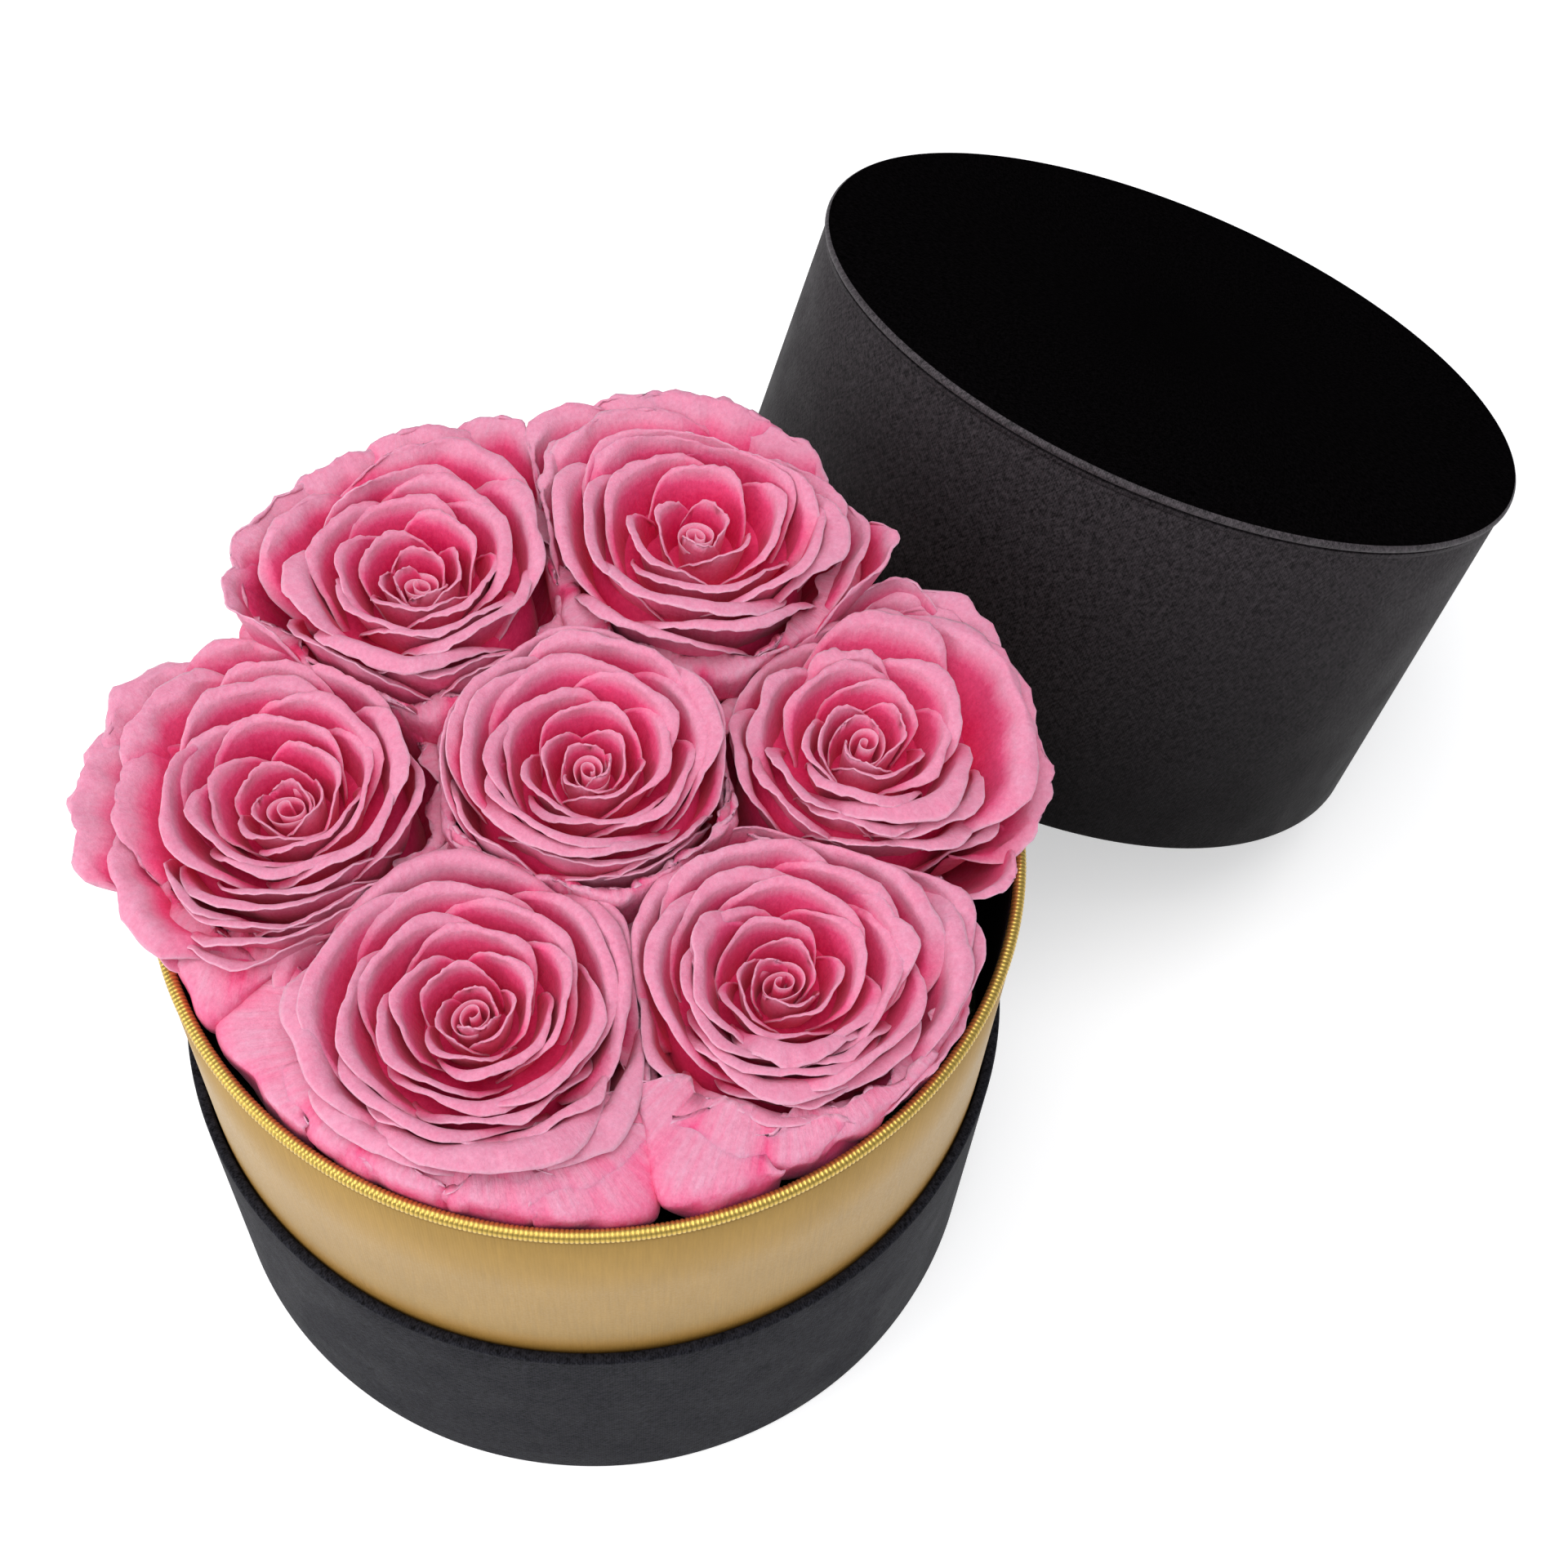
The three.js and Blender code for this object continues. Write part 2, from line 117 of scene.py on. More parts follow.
# The camera that the photograph was taken with, found from the rims of the box and the lid.
CAMERA_PLACE = (-0.14142, -0.14503, 0.42501)
CAMERA_FORWARD = (0.44904, 0.33358, -0.82891)
CAMERA_UP = (0.60673, 0.56720, 0.55693)
CAMERA_LENS = 49.70
CAMERA_SENSOR = 36.0

# What the lights look at, in metres.
LIGHT_AIM = (0.02, 0.0, 0.08)

# Each rose: its name, place and height of its lips, outward lean in degrees, how far its bud lies
# below its lips, direction of its first petal, radius of its bud, its share of the room between
# heads, how many petals stand in its heart and in the ring round it, the ring's radius, how
# strongly the heart winds, how much the lips ruffle, and how far the pink runs down the petals
# before the deeper colour, which is partly their own and partly painted shade.
ROSE_TERMS = ("name", "x", "y", "top", "lean", "dip", "turn", "bud", "size", "heart", "ring",
              "ring_radius", "wind", "ruffle", "glow")
ROSES = [
    ("left", -35.3, 38.8, 123, 8, 7, 0.4, 5.0, 1.05, 7, 10, 20, 0.8, 1.0, 1.0),
    ("back_left", 10.1, 52.8, 131, 8, 7, 2.1, 4.2, 1.0, 8, 8, 18, 1.0, 0.7, 0.75),
    ("back", 51.5, 22.5, 132, 8, 5, 3.6, 4.2, 1.1, 5, 8, 23, 1.2, 0.7, 1.1),
    ("centre", 3.6, 3.9, 127, 0, 6, 5.1, 4.0, 0.95, 8, 10, 20, 0.8, 0.45, 1.1),
    ("right", 40.6, -27.4, 125, 8, 4, 0.9, 5.0, 1.0, 7, 4, 15, 2.2, 0.5, 1.7),
    ("front_left", -41.0, -12.3, 119, 5, 5, 4.2, 4.2, 1.2, 8, 13, 24, 0.9, 0.5, 1.2),
    ("front_right", -2.2, -45.5, 120, 5, 6, 1.6, 4.8, 1.12, 7, 11, 22, 1.8, 0.9, 1.3),
]

# The large petals round each rose: direction and radius of the lip, how far it lies below the
# rose's top, half width in degrees, lean in degrees, radius of the roll of the lip, reach past
# the wall of the box, and length of the pointed tip.
OUTER_PETALS = {
    "left": [
        (-30, 21, 0.0, 55, 14, 1.4, 0, 0.8), (15, 26, 0.5, 42, 20, 1.2, 0, 0.0),
        (50, 25, 0.5, 40, 22, 1.2, 0, 0.0), (-60, 24, 2.0, 50, 14, 1.0, 0, 1.0),
        (-122, 22, 0.8, 58, 12, 0.7, 0, 0.5), (-140, 24, 1.5, 62, 12, 0.9, 0, 0.6),
        (-168, 25.5, 2.3, 40, 12, 0.7, 0, 1.2), (-152, 27, 3.0, 52, 12, 0.9, 0, 1.0),
        (-112, 28, 3.8, 40, 10, 0.8, 0, 1.0), (-130, 29.5, 4.5, 50, 10, 1.0, 0, 0.8),
        (-145, 32, 6.5, 46, 10, 1.2, 0, 0.0),
        (95, 29, 1.5, 45, 34, 1.5, 8, 0.5), (48, 34, 2.0, 52, 30, 2.0, 4, 1.0),
        (135, 28, 2.5, 45, 40, 1.5, 11, 0.0), (172, 32, 4.5, 42, 38, 2.0, 8, 1.5),
        (178, 34, 6.0, 28, 30, 1.6, 4.5, 1.0), (92, 36, 4.0, 40, 44, 2.5, 15.5, 1.0),
        (130, 36, 5.0, 40, 46, 2.5, 17.5, 1.5)],
    "back_left": [
        (60, 22, 0.5, 62, 18, 1.6, 0, 0.8), (-90, 21, 1.0, 60, 16, 1.6, 0, 1.0),
        (155, 20, 1.5, 55, 16, 1.5, 0, 2.0), (-30, 23, 1.0, 60, 18, 2.0, 0, 1.0),
        (-142, 23, 2.0, 65, 20, 2.4, 0, 2.5), (110, 27, 1.5, 42, 32, 1.6, 6, 3.0),
        (35, 28, 0.5, 60, 24, 2.0, 5, 0.5), (-122, 25, 4.0, 50, 16, 1.2, 0, 0.8),
        (-170, 26, 5.0, 50, 14, 1.5, 2, 0.0), (-98, 26.5, 6.5, 42, 14, 1.0, 0, 0.5),
        (148, 34, 4.0, 32, 14, 1.2, 6, 0.5), (46, 34, 2.5, 34, 36, 1.5, 11, 0.5),
        (78, 32, 3.5, 36, 24, 1.4, 11, 1.0), (108, 32, 4.0, 46, 16, 1.2, 11.5, 0.0),
        (18, 41, 3.5, 30, 30, 1.5, 10, 0.8)],
    "back": [
        (65, 22, 0.5, 65, 24, 1.5, 0, 0.8), (-10, 22, 0.5, 60, 20, 1.8, 0, 0.5),
        (-150, 22, 1.0, 72, 18, 2.0, 0, 1.0), (130, 26, 1.5, 55, 26, 1.8, 0, 0.5),
        (-60, 24, 2.0, 50, 18, 1.8, 0, 2.0), (-125, 26, 3.0, 55, 20, 2.4, 0, 0.5),
        (-20, 27, 2.5, 45, 26, 1.6, 3, 0.5), (-160, 28, 4.5, 52, 20, 2.4, 0, 0.0),
        (75, 30, 1.5, 50, 32, 1.6, 8, 0.5), (115, 31, 3.0, 45, 30, 1.8, 8, 0.0),
        (42, 34, 2.5, 48, 36, 2.0, 14, 0.0), (-42, 31, 5.0, 46, 28, 1.2, 2.5, 0.0),
        (14, 33, 4.5, 41, 34, 1.5, 12, 0.0), (62, 35, 3.0, 34, 34, 1.5, 13.5, 0.0),
        (88, 39, 3.5, 34, 30, 1.5, 10, 0.8), (-60, 37, 4.5, 32, 26, 1.4, 3.5, 0.0)],
    "centre": [
        (30, 23, 0.0, 62, 18, 1.6, 0, 0.3), (100, 24, 0.5, 58, 18, 1.4, 0, 0.5),
        (-30, 22, 0.5, 62, 16, 1.4, 0, 1.0), (-150, 20.5, 2.0, 80, 16, 2.0, 0, 1.5),
        (-25, 26, 2.0, 55, 20, 1.6, 0, 0.5), (55, 28, 1.0, 60, 22, 2.4, 0, 0.5),
        (118, 28, 2.5, 50, 20, 1.4, 0, 0.5), (-138, 22.5, 3.8, 60, 14, 1.1, 0, 0.6),
        (-100, 23.5, 5.2, 46, 14, 1.0, 0, 1.2), (-115, 24, 7.5, 62, 16, 0.9, 0, 0.0),
        (85, 31, 4.0, 40, 22, 1.2, 0, 0.0), (165, 26, 6.0, 50, 16, 1.2, 0, 0.5)],
    "right": [
        (-112, 17.5, 1.5, 85, 18, 2.0, 0, 0.5), (52, 16, 1.0, 45, 24, 0.6, 0, 2.5),
        (178, 18.5, 1.2, 58, 16, 1.2, 0, 0.5), (-145, 19.5, 2.3, 52, 16, 1.1, 0, 0.6),
        (168, 21.5, 3.0, 50, 18, 1.2, 0, 0.8), (-98, 21, 3.2, 52, 16, 1.1, 0, 1.0),
        (112, 19.5, 1.5, 55, 22, 1.4, 0, 0.5), (30, 24, 1.5, 52, 28, 1.4, 0, 0.5),
        (-28, 29, 2.0, 80, 30, 2.2, 6, 0.5), (140, 24, 4.0, 48, 20, 1.6, 0, 0.5),
        (-125, 23, 5.0, 58, 18, 1.6, 0, 0.0), (40, 28, 4.0, 50, 30, 1.4, 3, 0.5),
        (-5, 33, 5.5, 55, 30, 1.6, 9.5, 0.5), (80, 25, 5.5, 50, 22, 1.4, 0, 0.5),
        (-75, 27, 8.5, 40, 24, 1.2, 0, 0.5), (-50, 34, 9.0, 46, 30, 1.0, 10, 1.0),
        (14, 36, 5.5, 44, 26, 1.4, 11, 0.5), (38, 40, 3.0, 34, 24, 1.4, 1.5, 0.0),
        (-97, 36, 9.0, 26, 26, 1.2, 1, 0.5)],
    "front_left": [
        (-34, 27, 1.0, 58, 20, 2.4, 0, 1.0), (150, 26, 1.5, 58, 20, 2.4, 0, 1.0),
        (-118, 21.5, 1.2, 55, 14, 0.9, 0, 0.8), (-152, 23.5, 1.8, 48, 14, 1.0, 0, 0.6),
        (-98, 25, 2.6, 42, 14, 1.0, 0, 1.2),
        (55, 28, 0.5, 62, 20, 2.6, 0, 0.5), (-130, 27, 2.5, 62, 18, 2.8, 0, 0.5),
        (-10, 29.5, 2.5, 55, 20, 2.4, 0, 0.5), (-170, 28, 4.0, 52, 20, 2.8, 0, 2.5),
        (-85, 29, 5.5, 52, 16, 2.4, 0, 1.5), (98, 32, 4.0, 42, 22, 1.8, 0, 0.5)],
    "front_right": [
        (138, 15, 0.0, 80, 16, 1.2, 0, 0.5), (-128, 15.5, 1.0, 60, 14, 1.6, 0, 3.0),
        (-25, 20, 1.0, 50, 16, 1.2, 0, 1.0), (60, 24, 0.5, 65, 22, 1.4, 0, 0.5),
        (-110, 18.5, 1.8, 50, 14, 1.0, 0, 0.8),
        (-150, 21, 2.5, 65, 14, 1.8, 0, 0.5), (-126, 23, 4.2, 50, 12, 1.0, 0, 1.0),
        (0, 27, 1.0, 60, 20, 2.0, 0, 0.5),
        (108, 27, 2.0, 52, 26, 2.2, 0, 0.5), (-95, 23, 4.0, 50, 14, 1.6, 0, 1.5),
        (-45, 29, 3.0, 52, 18, 2.4, 0, 0.5), (-12, 33, 3.0, 46, 24, 1.8, 0, 1.5),
        (40, 32, 3.0, 50, 26, 1.4, 0, 0.5), (-140, 25, 6.5, 55, 14, 1.5, 0, 1.0),
        (158, 26, 6.0, 45, 18, 1.6, 0, 1.0), (-44, 33, 5.5, 44, 18, 1.4, 0, 0.0),
        (-78, 33, 6.5, 40, 26, 1.4, 2, 1.5)],
}


# The low petals that spread from under the outer lips towards the wall and the neighbours:
# direction, how far they reach, how far their upper edge lies below the rose's top, and half width
# in degrees.
LOW_PETALS = {
    "left": [(-146, 42, 8.5, 26), (-175, 31, 8.0, 36), (-95, 30, 9.0, 40), (95, 30, 9.0, 40),
             (-45, 26, 9.0, 40)],
    "back_left": [(-175, 33, 9.0, 40), (-60, 27, 10.0, 40), (-8, 28, 7.0, 40), (60, 30, 9.0, 40),
                  (-115, 28, 10.0, 40)],
    "back": [(-10, 30, 9.0, 40), (175, 30, 8.0, 36), (-75, 28, 10.0, 40), (-140, 28, 10.0, 40),
             (150, 28, 10.0, 40)],
    "centre": [(30, 27, 10.0, 44), (90, 27, 10.0, 44), (142, 31, 9.0, 36), (-170, 28, 9.0, 44),
               (-100, 28, 8.0, 44), (-40, 27, 10.0, 44)],
    "right": [(20, 30, 9.0, 40), (-150, 27, 9.0, 40), (120, 27, 10.0, 40), (-15, 31, 10.0, 30)],
    "front_left": [(-176, 33, 5.0, 34), (141, 43, 6.0, 30), (-112, 38, 5.5, 30),
                   (-145, 33, 5.5, 36), (-92, 46, 6.0, 28), (-30, 30, 10.0, 40),
                   (105, 30, 10.0, 40)],
    "front_right": [(-166, 45, 6.0, 28), (-142, 36, 5.5, 32), (-112, 31, 5.5, 36),
                    (-78, 30, 6.5, 32), (155, 28, 9.0, 34), (90, 28, 10.0, 40),
                    (0, 29, 10.0, 30)],
}


def size_property(name, description, default, least=0.0001):
    """A size that a user can change, in metres."""
    return bpy.props.FloatProperty(name=name, description=description, default=default, min=least,
                                   unit="LENGTH", precision=5)


def colour_property(name, description, default):
    """A colour that a user can change, as linear red, green and blue."""
    return bpy.props.FloatVectorProperty(
        name=name, description=description, subtype="COLOR", size=3, min=0, max=1, default=default)


class RoseBoxSizes(bpy.types.PropertyGroup):
    """Sizes that only the looks have."""

    rib_pitch: size_property("Rib pitch", "Spacing of the ribs round the rim", 0.00078, 0.0003)
    rib_depth: size_property("Rib depth", "Depth of the ribs round the rim", 0.00016, 0.0)
    edge_round: size_property("Cloth edge", "Rounding of the cloth at edges of the card", 0.0009)
    petal_thickness: size_property("Petal thickness", "Thickness of a petal's middle", 0.00042)
    sepal_length: size_property("Sepal length", "Length of the sepals under a head", 0.013, 0.004)


class RoseBoxColours(bpy.types.PropertyGroup):
    """Colours of the finishes."""

    petal_lip: colour_property("Petal lip", "Rolled lip of a petal", (0.82, 0.37, 0.52))
    petal_wall: colour_property("Petal wall", "Middle of a petal", (0.92, 0.105, 0.28))
    petal_throat: colour_property("Petal throat", "Foot of a petal", (0.80, 0.006, 0.11))
    satin: colour_property("Satin", "Black satin of the base", (0.012, 0.012, 0.0155))
    lid_satin: colour_property("Lid satin", "Black satin of the lid", (0.0125, 0.0105, 0.0118))
    foil: colour_property("Foil paper", "Gold foil paper of the collar", (0.39, 0.235, 0.058))
    bead: colour_property("Rolled rim", "Gold of the rolled rim", (0.74, 0.51, 0.12))
    card: colour_property("Black card", "Lining of the collar", (0.006, 0.005, 0.005))
    foam: colour_property("Foam", "Floral foam", (0.045, 0.075, 0.035))
    leaf: colour_property("Green", "Stems and sepals", (0.10, 0.19, 0.05))
    floor: colour_property("Floor", "Studio floor", (0.86, 0.86, 0.86))


def sizes():
    """The sizes as a user has set them."""
    return bpy.context.scene.rose_box_sizes


def colour(name):
    """A colour as a user has set it, as red, green and blue."""
    return tuple(getattr(bpy.context.scene.rose_box_colours, name))


# Meshes from grids of points. A shape is a tuple of points in millimetres, faces, and the place on
# the surface, in millimetres, of every face corner.

def new_object(name, data):
    """An object in the scene."""
    thing = bpy.data.objects.new(name, data)
    bpy.context.scene.collection.objects.link(thing)
    return thing


def new_piece(name, shape, finishes, node, values=None, face_finish=None):
    """A finished object from a shape, which stands for a node. Poles and seams are merged."""
    points, faces, corner_uv = shape
    mesh = bpy.data.meshes.new(name)
    mesh.from_pydata((points * MM).tolist(), [], faces.tolist())
    layer = mesh.uv_layers.new(name="surface")
    layer.data.foreach_set("uv", corner_uv.astype(np.float32).ravel())
    for label, numbers in (values or {}).items():
        attribute = mesh.attributes.new(label, "FLOAT", "POINT")
        attribute.data.foreach_set("value", numbers.astype(np.float32).ravel())
    for finish in finishes:
        mesh.materials.append(finish)
    if face_finish is not None:
        mesh.polygons.foreach_set("material_index", face_finish.astype(np.int32))
    sculpt = bmesh.new()
    sculpt.from_mesh(mesh)
    bmesh.ops.remove_doubles(sculpt, verts=sculpt.verts, dist=1e-7)
    sculpt.to_mesh(mesh)
    sculpt.free()
    mesh.polygons.foreach_set("use_smooth", np.ones(len(mesh.polygons), bool))
    mesh.update()
    piece = new_object(name, mesh)
    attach(piece, BODY)
    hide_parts(node)
    return piece


def joined(parts):
    """One shape from several, and each further value of their points as one array."""
    first = np.cumsum([0] + [len(part[0]) for part in parts])
    faces = np.concatenate([part[1] + start for part, start in zip(parts, first)])
    points, _, *others = (np.concatenate(column) for column in zip(*parts))
    return points, faces, *others


def grid_cells(rows, columns, wrap_rows=False, wrap_columns=False):
    """Corners of every cell of a grid: vertex numbers, and the row and column of each corner,
    which run on past the seam where the grid wraps."""
    row, column = np.meshgrid(
        np.arange(rows if wrap_rows else rows - 1),
        np.arange(columns if wrap_columns else columns - 1), indexing="ij")
    row = row.reshape(-1, 1) + np.array([[0, 0, 1, 1]])
    column = column.reshape(-1, 1) + np.array([[0, 1, 1, 0]])
    return (row % rows) * columns + column % columns, row, column


def round_angles(segments):
    """Angles of the points of a circle cut into segments."""
    return np.arange(segments) / segments * 2 * math.pi


def rounded_profile(corners, steps=5):
    """Corners given as radius, height and rounding. Each is replaced by an arc that touches both
    of its sides, worked out from the half angle between them."""
    outline = []
    for index, (radius, height, rounding) in enumerate(corners):
        here = np.array([radius, height], float)
        if rounding <= 0:
            outline.append(here)
            continue
        before = np.array(corners[index - 1][:2], float) - here
        after = np.array(corners[(index + 1) % len(corners)][:2], float) - here
        before /= np.linalg.norm(before)
        after /= np.linalg.norm(after)
        half = math.acos(np.clip(before @ after, -1, 1)) / 2
        inward = (before + after) / np.linalg.norm(before + after)
        middle = here + inward * rounding / math.sin(half)
        start = here + before * rounding / math.tan(half) - middle
        sweep = math.pi - 2 * half
        side = np.sign(before[0] * after[1] - before[1] * after[0])
        for turn in np.linspace(0, -side * sweep, steps + 1):
            spin = np.array([[math.cos(turn), -math.sin(turn)], [math.sin(turn), math.cos(turn)]])
            outline.append(middle + spin @ start)
    return np.array(outline)


def sides_of(outline, closed):
    """Starts and ends of the sides of an outline."""
    if closed:
        return outline, np.roll(outline, -1, axis=0)
    return outline[:-1], outline[1:]


def fine_steps(outline, step, closed=True):
    """The outline with points added so that no side is longer than step."""
    pieces = []
    for start, end in zip(*sides_of(outline, closed)):
        count = max(1, math.ceil(np.linalg.norm(end - start) / step))
        share = np.arange(count)[:, None] / count
        pieces.append(start + (end - start) * share)
    if not closed:
        pieces.append(outline[-1:])
    return np.concatenate(pieces)


def turned(outline, segments, relief, closed=True):
    """A surface of revolution about Z: each outline point, as radius and height, is carried round
    the axis. relief gives offsets of radius and height for arrays of angle and outline row."""
    angle = round_angles(segments)
    change_radius, change_height = relief(angle[None, :], outline)
    radius = outline[:, :1] + change_radius
    height = outline[:, 1:] + change_height
    points = np.stack([radius * np.cos(angle), radius * np.sin(angle), height], axis=-1)
    faces, row, column = grid_cells(len(outline), segments, closed, True)
    starts, ends = sides_of(outline, closed)
    travel = np.concatenate([[0], np.cumsum(np.linalg.norm(ends - starts, axis=1))])
    round_length = 2 * math.pi * outline[:, 0].max()
    corner_uv = np.stack([column / segments * round_length, travel[row]], axis=-1)
    return points.reshape(-1, 3), faces, corner_uv


# Finishes.

class Finish:
    """A node material under construction, with its Principled shader."""

    def __init__(self, name, **constants):
        self.material = bpy.data.materials.new(name)
        self.material.use_nodes = True
        self.tree = self.material.node_tree
        self.shader = next(node for node in self.tree.nodes if node.type == "BSDF_PRINCIPLED")
        for socket, value in constants.items():
            self.shader.inputs[socket.replace("_", " ")].default_value = value

    def feed(self, node, name, value):
        """Sets or links a socket, given by its name or as i and its number."""
        key = int(name[1:]) if name[0] == "i" and name[1:].isdigit() else name
        if isinstance(value, bpy.types.NodeSocket):
            self.tree.links.new(value, node.inputs[key])
        else:
            node.inputs[key].default_value = value

    def node(self, kind, settings=None, **inputs):
        """A shader node of a kind, with its settings and what goes into its sockets."""
        node = self.tree.nodes.new("ShaderNode" + kind)
        for name, value in (settings or {}).items():
            setattr(node, name, value)
        for name, value in inputs.items():
            self.feed(node, name.replace("_", " "), value)
        return node

    def object_place(self, stretch=(1, 1, 1)):
        """Object coordinates in millimetres, stretched along the axes."""
        place = self.node("TexCoord").outputs["Object"]
        scale = tuple(1 / MM * share for share in stretch)
        return self.node("Mapping", Vector=place, Scale=scale).outputs["Vector"]

    def surface_place(self, stretch=(1, 1), turn=0.0):
        """The piece's own map, which holds millimetres round and along its surface, turned by an
        angle in degrees and then stretched."""
        place = self.node("UVMap", {"uv_map": "surface"}).outputs["UV"]
        if turn:
            rotation = (0, 0, math.radians(turn))
            place = self.node("Mapping", Vector=place, Rotation=rotation).outputs["Vector"]
        return self.node("Mapping", Vector=place, Scale=(*stretch, 1)).outputs["Vector"]

    def part_of(self, place, axis):
        """One of X, Y and Z of a place."""
        return self.node("SeparateXYZ", Vector=place).outputs[axis]

    def value(self, label):
        """A value that the points of the piece carry."""
        return self.node("Attribute", {"attribute_name": label}).outputs["Fac"]

    def noise(self, place, size, detail=2.0, roughness=0.5):
        """Noise with blobs about size millimetres across."""
        return self.node("TexNoise", Vector=place, Scale=1 / size, Detail=detail,
                         Roughness=roughness).outputs["Fac"]

    def bands(self, place, pitch, distortion):
        """Waves a pitch apart, in millimetres, along the first axis of a place."""
        settings = {"wave_type": "BANDS", "bands_direction": "X"}
        return self.node("TexWave", settings, Vector=place, Scale=math.pi / (10 * pitch),
                         Distortion=distortion, Detail=1.0, Detail_Scale=1.0).outputs["Fac"]

    def math(self, kind, *terms):
        """The result of a Math node of a kind."""
        inputs = {f"i{index}": term for index, term in enumerate(terms)}
        return self.node("Math", {"operation": kind}, **inputs).outputs[0]

    def times(self, value, factor):
        return self.math("MULTIPLY", value, factor)

    def add(self, total, value, factor):
        """The total plus the value times the factor."""
        return self.math("MULTIPLY_ADD", value, factor, total)

    def sway(self, total, noise, factor):
        """The total, moved up and down by a noise times the factor."""
        return self.add(total, self.math("SUBTRACT", noise, 0.5), factor)

    def spread(self, value, low, high, to_low=0.0, to_high=1.0):
        """The value with low..high stretched to to_low..to_high, and cut off past it."""
        return self.node("MapRange", {"clamp": True}, Value=value, From_Min=low, From_Max=high,
                         To_Min=to_low, To_Max=to_high).outputs[0]

    def blend(self, share, first, second, kind="MIX"):
        """Two colours mixed by a share. Each is a result or red, green and blue."""
        node = self.node("Mix", {"data_type": "RGBA", "blend_type": kind}, i0=share)
        for name, value in (("i6", first), ("i7", second)):
            is_colour = isinstance(value, tuple) and len(value) == 3
            self.feed(node, name, (*value, 1) if is_colour else value)
        return node.outputs[2]

    def bump(self, height, depth, below=None, strength=1.0):
        """A bump whose full height is depth millimetres."""
        node = self.node("Bump", Strength=strength, Distance=depth * MM, Height=height)
        if below is not None:
            self.feed(node, "Normal", below)
        return node.outputs["Normal"]

    def wear(self, **inputs):
        """Links results into the shader."""
        for name, value in inputs.items():
            self.feed(self.shader, name.replace("_", " "), value)
        return self.material


def shade(tone, factor):
    """The tone, darker or lighter by a factor."""
    return tuple(min(1.0, part * factor) for part in tone)


def petal_finish():
    """Velvety petal: crimson at its foot, pink up its wall and pale on its lip, after the tone
    that its points carry, which is partly the petal's own colour and partly painted shade. A
    painted highlight runs along its edges, and veins run up the petal over a fine grain."""
    finish = Finish("rose_petal", Roughness=0.62, Sheen_Weight=0.12, Sheen_Roughness=0.45,
                    Sheen_Tint=(1.0, 0.78, 0.88, 1.0), Subsurface_Weight=0.2,
                    Subsurface_Radius=(1.0, 0.3, 0.4), Subsurface_Scale=0.0004,
                    Specular_IOR_Level=0.22)
    rim, veined = finish.value("rim"), finish.value("veined")
    place = finish.object_place()
    veins = finish.noise(finish.surface_place((1.0, 0.14)), 0.9, 3.0, 0.6)
    clouds = finish.noise(place, 7.0)
    grain = finish.noise(place, 0.35, 2.0, 0.7)
    speckles = finish.noise(place, 0.9, 3.0, 0.75)
    mottled = finish.sway(finish.value("tone"), clouds, 0.24)
    speckled = finish.sway(mottled, speckles, 0.30)
    streaked = finish.sway(speckled, veins, finish.add(0.08, veined, 0.5))
    # Tone from crimson throat to pale lip: partly the petal's own colour, partly painted shade.
    wall = finish.blend(finish.spread(streaked, 0.0, 0.55), colour("petal_throat"),
                        colour("petal_wall"))
    body = finish.blend(finish.spread(streaked, 0.48, 1.12), wall, colour("petal_lip"))
    # Painted highlight along the petal edges.
    painted_edge_highlight = (0.90, 0.58, 0.72)
    edge = finish.blend(finish.times(rim, 0.5), body, painted_edge_highlight)
    dust = finish.spread(finish.add(speckles, grain, 0.5), 0.5, 1.0, 0.84, 1.0)
    fibre = finish.bump(veins, 0.3, strength=finish.add(0.2, veined, 0.8))
    velvet = finish.bump(grain, 0.07, finish.bump(speckles, 0.08, fibre))
    return finish.wear(Base_Color=finish.blend(1.0, edge, dust, "MULTIPLY"), Normal=velvet)


def satin_finish(name, tone, sheen, gleam, painted_sheen_heights=None):
    """Satin cloth: short floating threads in two slanting directions over a fine warp, on card that
    is not quite even. The threads catch the light: lighter strokes in the colour, partly the
    weave's grain and partly painted sheen. Where the heights of a painted sheen are given, in
    millimetres along the cloth, the cloth goes from darker at the first to lighter at the second,
    as painted sheen and shade."""
    finish = Finish(name, Roughness=0.5, Sheen_Weight=sheen, Sheen_Roughness=0.35,
                    Sheen_Tint=(0.9, 0.93, 1.0, 1.0), Specular_IOR_Level=gleam)
    warp = finish.bands(finish.surface_place(), 0.45, 1.2)
    floats = finish.noise(finish.surface_place((1.0, 0.22), 38), 0.45, 3.0, 0.7)
    crossed = finish.noise(finish.surface_place((1.0, 0.3), -50), 0.5, 3.0, 0.7)
    threads = finish.math("ADD", floats, finish.add(crossed, warp, 0.12))
    place = finish.object_place()
    lint = finish.noise(place, 0.6, 3.0, 0.7)
    patches = finish.noise(place, 9.0)
    light = finish.spread(finish.add(threads, lint, 0.4), 1.05, 1.5)
    # Lighter strokes where the threads rise: the weave's grain, partly painted sheen.
    cloth = finish.blend(light, shade(tone, 0.3), shade(tone, 2.2))
    if painted_sheen_heights:
        # Painted sheen and shade: darker low on the cloth, lighter towards the top.
        height = finish.part_of(finish.surface_place(), "Y")
        cloth = finish.blend(1.0, cloth, finish.spread(height, *painted_sheen_heights, 0.35, 1.9), "MULTIPLY")
    gloss = finish.spread(finish.add(patches, lint, 0.4), 0.3, 1.1, 0.48, 0.68)
    rough = finish.bump(lint, 0.08, finish.bump(threads, 0.1))
    return finish.wear(Base_Color=cloth, Roughness=gloss, Normal=rough)


